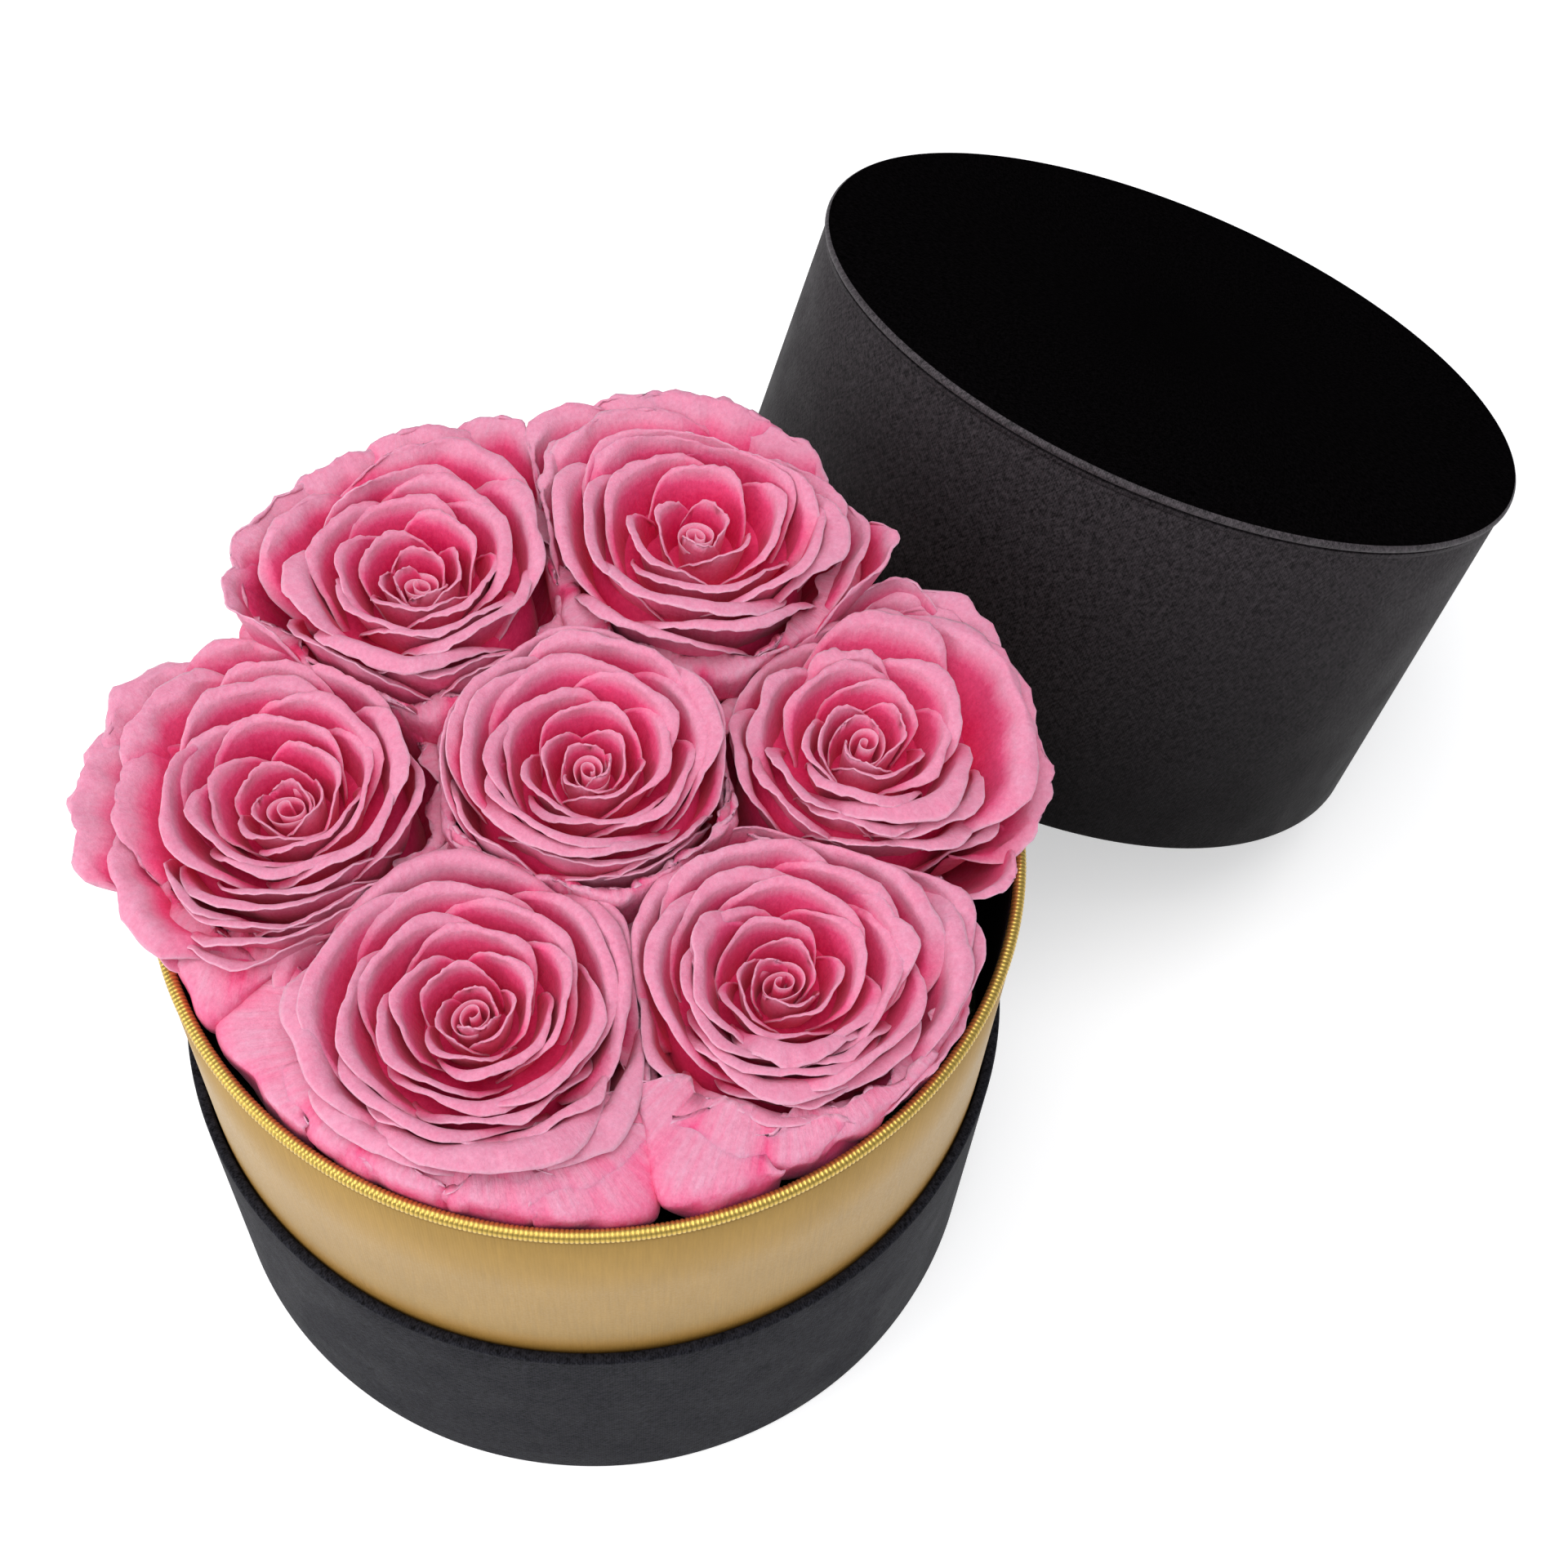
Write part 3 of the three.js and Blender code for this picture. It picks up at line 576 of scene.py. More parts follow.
def foil_finish():
    """Gold foil paper with fine ribs up the wall, a linen grain, and a warmer foot where the
    paper turns into the base."""
    finish = Finish("gold_foil_paper", Metallic=0.45, Roughness=0.42, Specular_IOR_Level=0.5)
    tone = colour("foil")
    place = finish.object_place()
    ribs = finish.bands(finish.surface_place(), 0.5, 0.5)
    streaks = finish.noise(finish.surface_place((1.0, 0.06)), 0.7, 3.0, 0.6)
    grain = finish.noise(place, 0.5, 3.0, 0.6)
    clouds = finish.noise(place, 14.0)
    foot = finish.spread(finish.part_of(place, "Z"), SHOULDER_HEIGHT, SHOULDER_HEIGHT + 7, 1.0, 0.0)
    light = finish.spread(finish.add(finish.times(clouds, 0.4), streaks, 0.6), 0.3, 0.7)
    paper = finish.blend(light, shade(tone, 0.88), shade(tone, 1.08))
    warm_gold = (0.55, 0.27, 0.05)
    warm = finish.blend(finish.times(foot, 0.6), paper, warm_gold)
    gloss = finish.spread(grain, 0.3, 0.7, 0.36, 0.5)
    linen = finish.bump(finish.add(grain, streaks, 0.6), 0.025, finish.bump(ribs, 0.02))
    return finish.wear(Base_Color=warm, Roughness=gloss, Normal=linen)


def bead_finish():
    """Rolled gold rim: glossy and bright on its crests, darker and rougher in the grooves between
    the ribs and in small spots.
    """
    finish = Finish("gold_rolled_rim", Metallic=0.85, Roughness=0.3)
    tone = colour("bead")
    spots = finish.noise(finish.object_place(), 0.8)
    grooves_and_spots = finish.add(finish.times(finish.value("groove"), 0.8), spots, 0.4)
    # Darker and rougher in the grooves and in spots.
    coloured = finish.blend(finish.spread(grooves_and_spots, 0.15, 1.0), tone, shade(tone, 0.45))
    gloss = finish.spread(grooves_and_spots, 0.1, 1.0, 0.26, 0.48)
    return finish.wear(Base_Color=coloured, Roughness=gloss, Normal=finish.bump(spots, 0.02))


def card_finish():
    """Dull black card with a faint paper grain."""
    finish = Finish("black_card", Roughness=0.8, Specular_IOR_Level=0.2)
    tone = colour("card")
    grain = finish.noise(finish.object_place(), 0.5, 3.0, 0.7)
    return finish.wear(Base_Color=finish.blend(grain, shade(tone, 0.6), shade(tone, 1.6)),
                       Normal=finish.bump(grain, 0.03))


def foam_finish():
    """Floral foam: open pits in a crumbly green block."""
    finish = Finish("floral_foam", Roughness=0.95, Specular_IOR_Level=0.1)
    tone = colour("foam")
    place = finish.object_place()
    pits = finish.node("TexVoronoi", Vector=place, Scale=0.9).outputs["Distance"]
    crumbs = finish.noise(place, 0.5, 4.0, 0.7)
    # Painted shade: darker towards the middle of each pit, where the bump sinks, mottled by crumbs.
    coloured = finish.blend(finish.times(pits, crumbs), shade(tone, 0.4), shade(tone, 2.0))
    return finish.wear(Base_Color=coloured, Normal=finish.bump(pits, 0.5, finish.bump(crumbs, 0.2)))


def leaf_finish():
    """Preserved green of stems and sepals, ribbed along their length."""
    finish = Finish("rose_green", Roughness=0.6, Sheen_Weight=0.2, Specular_IOR_Level=0.3)
    tone = colour("leaf")
    ribs = finish.noise(finish.object_place((1, 1, 0.2)), 0.8, 3.0, 0.6)
    spots = finish.noise(finish.object_place(), 3.0)
    light = finish.spread(finish.math("ADD", ribs, spots), 0.6, 1.4)
    return finish.wear(Base_Color=finish.blend(light, shade(tone, 0.6), shade(tone, 1.5)),
                       Normal=finish.bump(ribs, 0.15))


def floor_finish():
    """White light table: a matt floor that gives off a little light of its own."""
    finish = Finish("studio_floor", Roughness=0.9, Specular_IOR_Level=0.1)
    tone = colour("floor")
    drift = finish.noise(finish.object_place(), 180.0, 1.0)
    return finish.wear(Base_Color=finish.blend(drift, shade(tone, 0.985), tone),
                       Emission_Color=(1.0, 1.0, 1.0, 1.0), Emission_Strength=0.46)


# The flower heads. A head's own frame has its receptacle at height 0, its lips at HEAD_HEIGHT.

def chance(seed, counter):
    """A repeatable random number in -1..1 for a seed and a counter."""
    value = math.sin(seed * 127.1 + counter * 311.7) * 43758.5453
    return 2 * (value - math.floor(value)) - 1


def head_of(row, index):
    """A row of the table as a rose, with its seed, its direction of lean and the middle of its
    receptacle."""
    rose = dict(zip(ROSE_TERMS, row))
    place = np.array([rose["x"], rose["y"]])
    outward = place / np.linalg.norm(place)
    slope = math.tan(math.radians(rose["lean"]))
    foot = place - outward * slope * HEAD_HEIGHT
    return {**rose, "seed": index + 1, "outward": outward, "slope": slope,
            "foot": np.array([*foot, rose["top"] - HEAD_HEIGHT])}


HEADS = [head_of(row, index) for index, row in enumerate(ROSES)]


def middle_at(head, height):
    """Where the leaning axis of a head stands at a height, as x and y on the last axis."""
    run = head["slope"] * (height - head["foot"][2])
    return head["foot"][:2] + head["outward"] * run[..., None]


def placed(head, angle, distance, level, past=0.0, power=SOFT_POWER, inset=0.0, dent=0.0):
    """Points of a head from angle, distance from its leaning middle and height above its foot.
    A distance counts in full as long as it is well short of its limits, which are planes between
    the head and its neighbours, shared by their sizes, and the inside of the box's wall less the
    inset, past which a petal may reach once it is above the rim. Distance and limits are joined
    as one over the root of the sum of powers of one over each. The dent is then taken off."""
    angle, distance, level = np.broadcast_arrays(angle, distance, level)
    direction = np.stack([np.cos(angle), np.sin(angle)], axis=-1)
    height = head["foot"][2] + level
    middle = middle_at(head, height)
    tightness = np.maximum(distance, 0.01) ** -power
    for other in HEADS:
        if other["name"] == head["name"]:
            continue
        between = middle_at(other, height) - middle
        apart = np.linalg.norm(between, axis=-1)
        facing = (direction * between).sum(-1) / apart
        share = head["size"] / (head["size"] + other["size"])
        limit = (apart * share + PRESS) / np.maximum(facing, 0.05)
        tightness = tightness + np.where(facing > 0.05, limit ** -power, 0)
    above = np.clip((height - COLLAR_TOP - 0.4) / OVER_RIM, 0, 1)
    wall = LINING_INNER - 0.5 - inset + past * above ** 0.6
    along = (middle * direction).sum(-1)
    reach = -along + np.sqrt(np.maximum(along ** 2 + wall ** 2 - (middle ** 2).sum(-1), 1))
    tightness = tightness + np.maximum(reach, 1.0) ** -power
    place = middle + direction * np.maximum(tightness ** (-1 / power) - dent, 0.1)[..., None]
    return np.concatenate([place, height[..., None]], axis=-1)


def blade(sheet, thickness, tones, rim, stretch, veined=0.0):
    """A closed thin blade from a grid of points: both faces stand half the thickness off the grid
    along its normals, thinner towards the borders, and quads close the border between them.
    The normals are the cross products of the grid's own differences. With it come the values of
    its points: the tones of the outer and the inner face, the rim, and how veined it is."""
    rows, columns = sheet.shape[:2]
    normal = np.cross(np.gradient(sheet, axis=1), np.gradient(sheet, axis=0))
    normal /= np.maximum(np.linalg.norm(normal, axis=-1, keepdims=True), 1e-9)
    half = np.full((rows, columns), thickness / 2)
    half[-1] *= 0.35
    half[-2] *= 0.85
    half[:, [0, -1]] *= 0.4
    offset = normal * half[..., None]
    points = np.concatenate([(sheet + offset).reshape(-1, 3), (sheet - offset).reshape(-1, 3)])
    cells = grid_cells(rows, columns)[0]
    back = rows * columns
    border = np.concatenate([
        np.arange(columns - 1),
        np.arange(rows - 1) * columns + columns - 1,
        (rows - 1) * columns + np.arange(columns - 1, 0, -1),
        np.arange(rows - 1, 0, -1) * columns,
    ])
    after = np.roll(border, -1)
    edge = np.stack([back + border, back + after, after, border], axis=1)
    faces = np.concatenate([cells, back + cells[:, ::-1], edge])
    vertex_uv = np.stack([
        np.repeat(np.linspace(-0.5, 0.5, columns)[None, :] * stretch[0], rows, axis=0),
        np.repeat(np.linspace(0, 1, rows)[:, None] * stretch[1], columns, axis=1),
    ], axis=-1).reshape(-1, 2)
    corner_uv = np.concatenate([vertex_uv, vertex_uv])[faces]
    return (points, faces, corner_uv, np.concatenate([tone.ravel() for tone in tones]),
            np.concatenate([rim.ravel(), rim.ravel()]), np.full(len(points), veined))


def ease(value, low, high):
    """A smooth step from 0 at low to 1 at high."""
    share = np.clip((value - low) / (high - low), 0, 1)
    return share * share * (3 - 2 * share)


def crumple(around, along, seed):
    """Folds of a crushed petal: triangle waves over the sheet in five directions, each with its
    turn in degrees, its pitch in millimetres and its share, and a phase from the seed."""
    directions = ((20, 13.0, 0.45), (-35, 9.0, 0.3), (75, 17.0, 0.35), (-12, 4.6, 0.14),
                  (38, 5.7, 0.12))
    folds = np.zeros(np.broadcast(around, along).shape)
    for step, (turn, pitch, share) in enumerate(directions):
        line = math.cos(math.radians(turn)) * around + math.sin(math.radians(turn)) * along
        wave = line / pitch + 0.15 * np.sin(around / 5 + step) + chance(seed, step)
        folds = folds + share * (4 * np.abs(np.mod(wave, 1) - 0.5) - 1)
    return folds


def wall_ends(petal):
    """Foot, belly and crest of the curve that a petal's wall follows, each as distance and
    height. A petal that bulges passes its reach half way, another leans outwards at its crest."""
    foot = (petal["foot"] * petal["radius"], petal["height"] - petal["depth"])
    crest = (petal["radius"], petal["height"])
    if petal["bulge"] > 0:
        return foot, (2 * petal["bulge"] - 0.5 * (foot[0] + crest[0]), petal["height"] + 1), crest
    lean = math.radians(petal["lean"])
    length = 0.6 * petal["depth"]
    return foot, (crest[0] - length * math.sin(lean), crest[1] - length * math.cos(lean)), crest


def curve_at(ends, share, axis):
    """A quadratic curve: the foot counts by the square of what is left of the share, the belly by
    twice the product of both, and the crest by the square of the share."""
    foot, belly, crest = (end[axis] for end in ends)
    return (1 - share) ** 2 * foot + 2 * share * (1 - share) * belly + share ** 2 * crest


def curve_slope(ends, share):
    """The angle at which that curve climbs."""
    out, rise = ((1 - share) * (belly - foot) + share * (crest - belly)
                 for foot, belly, crest in zip(*ends))
    return np.arctan2(rise, out)


def with_lip(petal, distance, level, across, slope, lip):
    """The lip goes on from the wall's slope, bends outwards on an arc and ends in a straight
    fold. Both get smaller with powers of the way across."""
    radius = petal["lip"]
    bend = petal["curl"] * (1 - 0.45 * across ** 2)
    swing = 1 + 0.5 * np.sin(3.3 * across + 2.1 * petal["phase"])
    fold = petal["fold"] * (1 - 0.7 * np.abs(across) ** 3) * swing
    run = lip * (radius * bend + fold)
    bent = np.minimum(run / radius, bend)
    straight = np.maximum(run - radius * bend, 0)
    distance = distance + radius * (np.sin(slope) - np.sin(slope - bent))
    level = level + radius * (np.cos(slope - bent) - np.cos(slope))
    return distance + straight * np.cos(slope - bend), level + straight * np.sin(slope - bend)


def ruffled(petal, distance, level, across, up, wall, lip):
    """Sine waves and a zigzag kink, which grow up the petal, a pointed tip on its lip, a lead of
    one side over the other, and small nicks of the edge."""
    phase, waves = petal["phase"], petal["waves"]
    ruffle = ease(up, 0.25, 1.0) * petal["ruffle"]
    wave = np.sin(waves * across + phase) + 0.5 * np.sin(2.3 * waves * across + 2 * phase)
    kink = 2 * np.abs(2 * np.mod(1.4 * across + phase, 1) - 1) - 1
    tip = np.exp(-np.abs(across - petal["tip_at"]) / 0.22) * lip ** 1.5
    nick = 0.18 * np.sin(31 * across + 5 * phase) + 0.13 * np.sin(53 * across + 3 * phase)
    distance = distance + ruffle * 0.6 * wave
    distance = distance + ease(up, 0.25, 1.0) * petal["kink"] * kink
    distance = distance + petal["tip"] * tip + petal["lead"] * across * (0.3 + 0.7 * wall)
    level = level + ruffle * 0.45 * np.cos(waves * across + 1.7 * phase)
    return distance, level - 0.3 * petal["tip"] * tip + nick * lip


def petal_tones(petal, level, lip, folds):
    """Tones of the outer and the inner face: 1 on the lip, and fading below it as two
    exponentials of the depth, partly the petal's own deeper colour and partly painted shade,
    deep red as from light bounced between petals. Inner petals are a touch darker, and a petal
    with crease shade set is darker in its dents, both as painted shade."""
    below = np.maximum(petal["height"] - 0.5 - level, 0)
    fading = 0.35 * np.exp(-below / 1.2) + 0.65 * np.exp(-below / petal["glow"])
    # Painted shade in the dents of the folds.
    fading = fading * (1 - petal["bruise"] * ease(folds, -0.2, 1.2))
    light = fading * (1 - lip) + lip
    return (np.clip(petal["pale"] + (1 - petal["pale"]) * light, 0, 1),
            # Inner petals a touch darker: painted shade.
            np.clip(0.05 + 0.95 * light - 0.1 * (1 - petal["order"]), 0, 1))


def petal_blade(head, petal, grid):
    """One petal. Its wall is a quadratic curve from its foot, which stands at a share of its
    radius, through a belly, up to its lip. Its outline falls at both sides with the third power
    of the way across. Its folds, raised by its slack, dent it where they are above zero. A petal
    that may reach past the box's wall is lifted over the rim."""
    columns, wall_rows, lip_rows = grid
    across = np.linspace(-1, 1, columns)[None, :]
    up = np.concatenate([
        np.linspace(0, 1, wall_rows, endpoint=False) ** 0.8 * LIP_FROM,
        np.linspace(LIP_FROM, 1, lip_rows),
    ])[:, None]
    wall = np.clip(up / LIP_FROM, 0, 1)
    lip = np.clip((up - LIP_FROM) / (1 - LIP_FROM), 0, 1)
    outline = 1 - petal["side_drop"] * np.abs(across) ** 3
    ends = wall_ends(petal)
    distance, level = (curve_at(ends, wall * outline, axis) for axis in (0, 1))
    distance, level = with_lip(petal, distance, level, across, curve_slope(ends, outline), lip)
    distance, level = ruffled(petal, distance, level, across, up, wall, lip)
    around = across * petal["half_width"] * petal["radius"]
    folds = crumple(around, up * petal["depth"], head["seed"] + petal["phase"])
    dent = petal["crease"] * ease(up, 0.0, 0.3) * np.maximum(folds + petal["slack"], 0)
    if petal["past"] > 0:
        above_rim = COLLAR_TOP + 1.4 - head["foot"][2]
        level = level + ease(up, 0.35, 0.6) * np.maximum(above_rim - level, 0)
    angle = petal["facing"] + across * petal["half_width"]
    sheet = placed(head, angle, np.maximum(distance, 0.2), level,
                   petal["past"] * ease(up, 0.35, 0.7), petal["power"], petal["inset"], dent)
    # Edge rows that the finish gives a painted highlight.
    rim = np.broadcast_to(ease(up, 0.93, 1.0), sheet.shape[:2])
    stretch = (2 * petal["half_width"] * petal["radius"], petal["depth"] + 2)
    return blade(sheet, sizes().petal_thickness / MM, petal_tones(petal, level, lip, folds), rim,
                 stretch, petal["veined"])


def bud_blade(head):
    """The bud: one blade wound round itself. Its radius grows with the power 0.9 of the way along,
    its top edge waves a little and turns outwards with the sixth power of the way up."""
    columns, rows, turns, lowest = 110, 8, 2.2, 22
    along = np.linspace(0, 1, columns)[None, :]
    up = np.linspace(0, 1, rows)[:, None]
    angle = head["turn"] - 1 + 2 * math.pi * turns * along
    width = 0.5 + (0.78 * head["bud"] - 0.5) * along ** 0.9
    width = width * (1 + 0.12 * np.cos(2 * angle + head["seed"]))
    highest = HEAD_HEIGHT - 0.6 - head["dip"] - 1.0 * along + 0.6 * np.sin(8 * along + head["seed"])
    level = lowest + (highest - lowest) * up
    distance = width * (0.82 + 0.18 * up) + 0.5 * along * up ** 6
    sheet = placed(head, angle, distance, level)
    # Painted shade: the bud darkens below its top edge and inside its coil, partly its own colour.
    tone = np.clip(0.15 + 0.7 * np.exp(-(highest - level) / 3.0), 0, 1)
    tone = np.broadcast_to(tone, sheet.shape[:2])
    rim = np.broadcast_to(ease(up, 0.9, 1.0), sheet.shape[:2])
    stretch = (2 * math.pi * head["bud"] * turns * 0.6, highest.max() - lowest)
    return blade(sheet, sizes().petal_thickness / MM * 0.9, (tone, tone * 0.8), rim, stretch, 0.2)


def sunk_at(head, radius):
    """How far the heart lies below the outer lips: the dip times a bell curve of the distance."""
    return head["dip"] * np.exp(-(radius / 12) ** 2)


def core_body(head):
    """The receptacle and closed heart of the head, which the petals stand out of: a lathe shape
    carried through the same placing as the petals."""
    underside = np.array([[0, -1], [4.5, -1], [9, 2], [14, 5], [18, 8], [20, 12], [20, 18],
                          [20, 24]], float)
    radius = np.linspace(18.5, 0, 10)
    top = np.stack([radius, HEAD_HEIGHT - 8 - sunk_at(head, radius)], axis=-1)
    outline = np.concatenate([underside, top])
    angle = round_angles(CORE_SEGMENTS)
    points = placed(head, angle[None, :], outline[:, :1], outline[:, 1:]).reshape(-1, 3)
    faces, row, column = grid_cells(len(outline), CORE_SEGMENTS, False, True)
    quiet = np.zeros(len(points))
    return (points, faces, np.stack([column * 2.5, row * 4.0], axis=-1), quiet + CORE_TONE, quiet,
            quiet)


def petal_of(head, order, seed, **form):
    """A petal from its form, filled up with what most petals share and small random turns."""
    luck = [chance(head["seed"] + 0.13 * order, 10 * seed + step) for step in range(5)]
    usual = {
        "foot": 0.4, "depth": 14 + 16 * order, "side_drop": 0.42 + 0.08 * luck[0],
        "curl": math.radians(55 + 30 * order + 12 * luck[1]), "fold": 0.5 + 1.5 * order ** 2,
        "lead": 1.5, "tip": 0.0, "tip_at": 0.3 * luck[2],
        "ruffle": head["ruffle"] * (0.2 + 0.8 * order ** 2), "kink": 0.3 + 0.8 * order,
        "waves": 4.5 + 1.5 * luck[3], "phase": 3 * luck[4] + 1.7 * seed, "past": 0.0,
        "glow": (2.0 + 2.0 * order) * head["glow"], "pale": 0.42, "order": order, "bulge": 0.0,
        # Painted shade in a petal's dents, off unless the petal sets it.
        "crease": 0.25 * order ** 2, "slack": 1.0, "bruise": 0.0, "power": SOFT_POWER,
        "inset": 0.0, "veined": 0.3,
    }
    return {**usual, **form}


def heart_petals(head):
    """The petals of the heart, close round the bud: steep, thin-lipped, and wound like a
    pinwheel, each a golden angle on from the last."""
    start = 0.85 * head["bud"]
    for index in range(head["heart"]):
        share = index / (head["heart"] - 1)
        luck = [chance(head["seed"], 10 * index + step) for step in range(4)]
        radius = start + (11.0 - start) * share ** 1.1
        yield petal_of(
            head, 0.1 + 0.3 * share, index, radius=radius,
            height=HEAD_HEIGHT + 0.8 * luck[1] - sunk_at(head, radius),
            lean=3 + 11 * share + 3 * luck[2], facing=head["turn"] + GOLDEN_ANGLE * index,
            half_width=1.75 - 0.35 * share + 0.1 * luck[0], lip=0.3 + 0.35 * share,
            curl=math.radians(30 + 35 * share), fold=0.15 + 0.3 * share,
            lead=head["wind"] * (1.1 - 0.2 * share), tip=0.8 * share * max(0, luck[3]))


def ring_petals(head):
    """The petals of the ring between the heart and the large outer petals."""
    for index in range(head["ring"]):
        share = (index + 0.5) / head["ring"]
        luck = [chance(head["seed"] + 7, 10 * index + step) for step in range(4)]
        radius = 12 + (head["ring_radius"] - 12) * share
        yield petal_of(
            head, 0.4 + 0.25 * share, index + 20, radius=radius,
            height=HEAD_HEIGHT + 0.9 * luck[1] - sunk_at(head, radius),
            lean=14 + 4 * share + 3 * luck[2], lip=0.6 + 0.6 * share,
            facing=head["turn"] + GOLDEN_ANGLE * (index + head["heart"]),
            half_width=1.4 - 0.2 * share + 0.1 * luck[0], tip=1.4 * max(0, luck[3]))


def outer_petals(head):
    """The large petals of the table."""
    rows = OUTER_PETALS[head["name"]]
    for index, (facing, radius, drop, half_width, lean, lip, past, tip) in enumerate(rows):
        order = 0.6 + 0.4 * index / (len(rows) - 1)
        yield petal_of(
            head, order, index + 40, radius=radius - 0.7 * lip, height=HEAD_HEIGHT - drop,
            lean=lean, lip=lip, facing=math.radians(facing), half_width=math.radians(half_width),
            past=past, tip=tip, depth=20 + 10 * order, crease=0.3 + 0.08 * past,
            power=OUTER_POWER if radius > 28 else SOFT_POWER,
            curl=math.radians(40 + 17 * min(lip, 2.6)), fold=0.5 + 0.8 * lip)


def low_petals(head):
    """The low petals of the table: pale outside, crushed, darker in their dents as painted shade,
    and bulging out to their reach.
    """
    for index, (facing, reach, drop, half_width) in enumerate(LOW_PETALS[head["name"]]):
        yield petal_of(
            head, 1.0, index + 60, radius=25, facing=math.radians(facing), lean=0, bulge=reach,
            height=HEAD_HEIGHT - drop, depth=28, half_width=math.radians(half_width),
            side_drop=0.15, lip=0.6, curl=math.radians(20), fold=0.4, glow=7.0, pale=0.25,
            crease=1.4, slack=0.3, bruise=0.9, power=LOW_POWER, inset=0.5 * (index % 2) - 0.3,
            veined=1.0)


def bloom(head, finish):
    """One flower head as one object: core, wound bud and petals."""
    parts = [core_body(head), bud_blade(head)]
    for petals, grid in ((heart_petals, HEART_GRID), (ring_petals, OUTER_GRID),
                         (outer_petals, OUTER_GRID), (low_petals, LOW_GRID)):
        parts += [petal_blade(head, petal, grid) for petal in petals(head)]
    *shape, tone, rim, veined = joined(parts)
    return new_piece("rose_" + head["name"], shape, [finish],
                     "bloom_" + head["name"], {"tone": tone, "rim": rim, "veined": veined})


def cut_stem(head, top):
    """The stem, from just over the bottom of its hole up to the receptacle, under which it
    swells, with five faint ridges as a cosine of the angle."""
    foot = FOAM_TOP - STEM_DEPTH + FIT - head["foot"][2]
    outline = np.array([[0, foot], [STEM_RADIUS - 0.3, foot], [STEM_RADIUS, foot + 0.4],
                        [STEM_RADIUS - 0.1, top - 10], [STEM_RADIUS, top - 8], [3.4, top - 6.6],
                        [4.6, top - 5], [5.0, top - 3], [4.6, top - 1.2], [3.6, top - 0.2],
                        [0, top]], float)
    outline = fine_steps(outline, 2.0, closed=False)
    angle = round_angles(STEM_SEGMENTS)
    radius = outline[:, :1] * (1 + 0.03 * np.cos(5 * angle)[None, :])
    points = np.stack([radius * np.cos(angle), radius * np.sin(angle),
                       np.repeat(outline[:, 1:], STEM_SEGMENTS, axis=1)], axis=-1)
    faces, row, column = grid_cells(len(outline), STEM_SEGMENTS, False, True)
    return points.reshape(-1, 3), faces, np.stack([column * 0.6, row * 2.0], axis=-1)


def sepal(facing, top):
    """A pointed blade that droops from the calyx: half its width is the sine of the way out to
    the power 0.7, less towards the point."""
    length = sizes().sepal_length / MM
    rows, columns = 14, 9
    out = np.linspace(0, 1, rows)[:, None]
    across = np.linspace(-1, 1, columns)[None, :]
    half_width = 0.25 + 2.6 * np.sin(math.pi * (0.12 + 0.88 * out)) ** 0.7 * (1 - 0.35 * out)
    ahead = np.repeat(3.6 + (length - 3.6) * out, columns, axis=1)
    side = -across * half_width
    droop = top - 3.2 - 2.2 * out ** 2 - 0.5 * across ** 2 * (1 - out) - 0.4 * np.sin(6 * out)
    sheet = np.stack([ahead * math.cos(facing) - side * math.sin(facing),
                      ahead * math.sin(facing) + side * math.cos(facing), droop], axis=-1)
    quiet = np.zeros((rows, columns))
    return blade(sheet, 0.7, (quiet, quiet), quiet, (5.0, length))[:3]


def stem_and_calyx(head, finish):
    """The cut stem, which ends just under the receptacle, and its five sepals."""
    top = -1.4
    parts = [cut_stem(head, top)]
    parts += [sepal(head["turn"] + math.pi * 2 * index / 5, top) for index in range(5)]
    points, faces, corner_uv = joined(parts)
    return new_piece("stem_and_sepals_" + head["name"], (points + head["foot"], faces, corner_uv),
                     [finish], "stem_" + head["name"])


# The box.

def uneven(depth, waves):
    """Relief of card under cloth: a few slow waves round the wall, depth millimetres deep."""
    def relief(angle, outline):
        swing = np.sin(waves * angle) + 0.6 * np.sin((2 * waves + 1) * angle + 1.3)
        change = depth * swing * np.ones((len(outline), 1))
        return change, np.zeros_like(change)
    return relief


def tube(corners, segments, relief, steps=5, longest=8.0):
    """The wall of a tube from the corners of its section."""
    return turned(fine_steps(rounded_profile(corners, steps), longest), segments, relief)


def leaned(shape):
    """A shape of the lid carried to its place: its far rim on the table, its near rim on the
    shoulder of the base."""
    turn = np.array(Matrix.Rotation(LID_TILT, 3, "Y"))
    middle = COLLAR_RADIUS + FIT + BASE_RADIUS * math.cos(LID_TILT)
    place = np.array([middle, 0, LID_RIM_HEIGHT / 2 + 0.02])
    return shape[0] @ turn.T + place, *shape[1:]


def base_wall(finish):
    """Card tube of the base under satin, with its shoulder rounded."""
    edge = sizes().edge_round / MM
    inner = COLLAR_RADIUS + FIT
    corners = [(inner, 0, 0.2), (BASE_RADIUS, 0, 0.5), (BASE_RADIUS, SHOULDER_HEIGHT, edge),
               (inner, SHOULDER_HEIGHT, edge * 0.7)]
    shape = tube(corners, WALL_SEGMENTS, uneven(0.04, 5))
    return new_piece("satin_base_wall", shape, [finish], "base_wall")


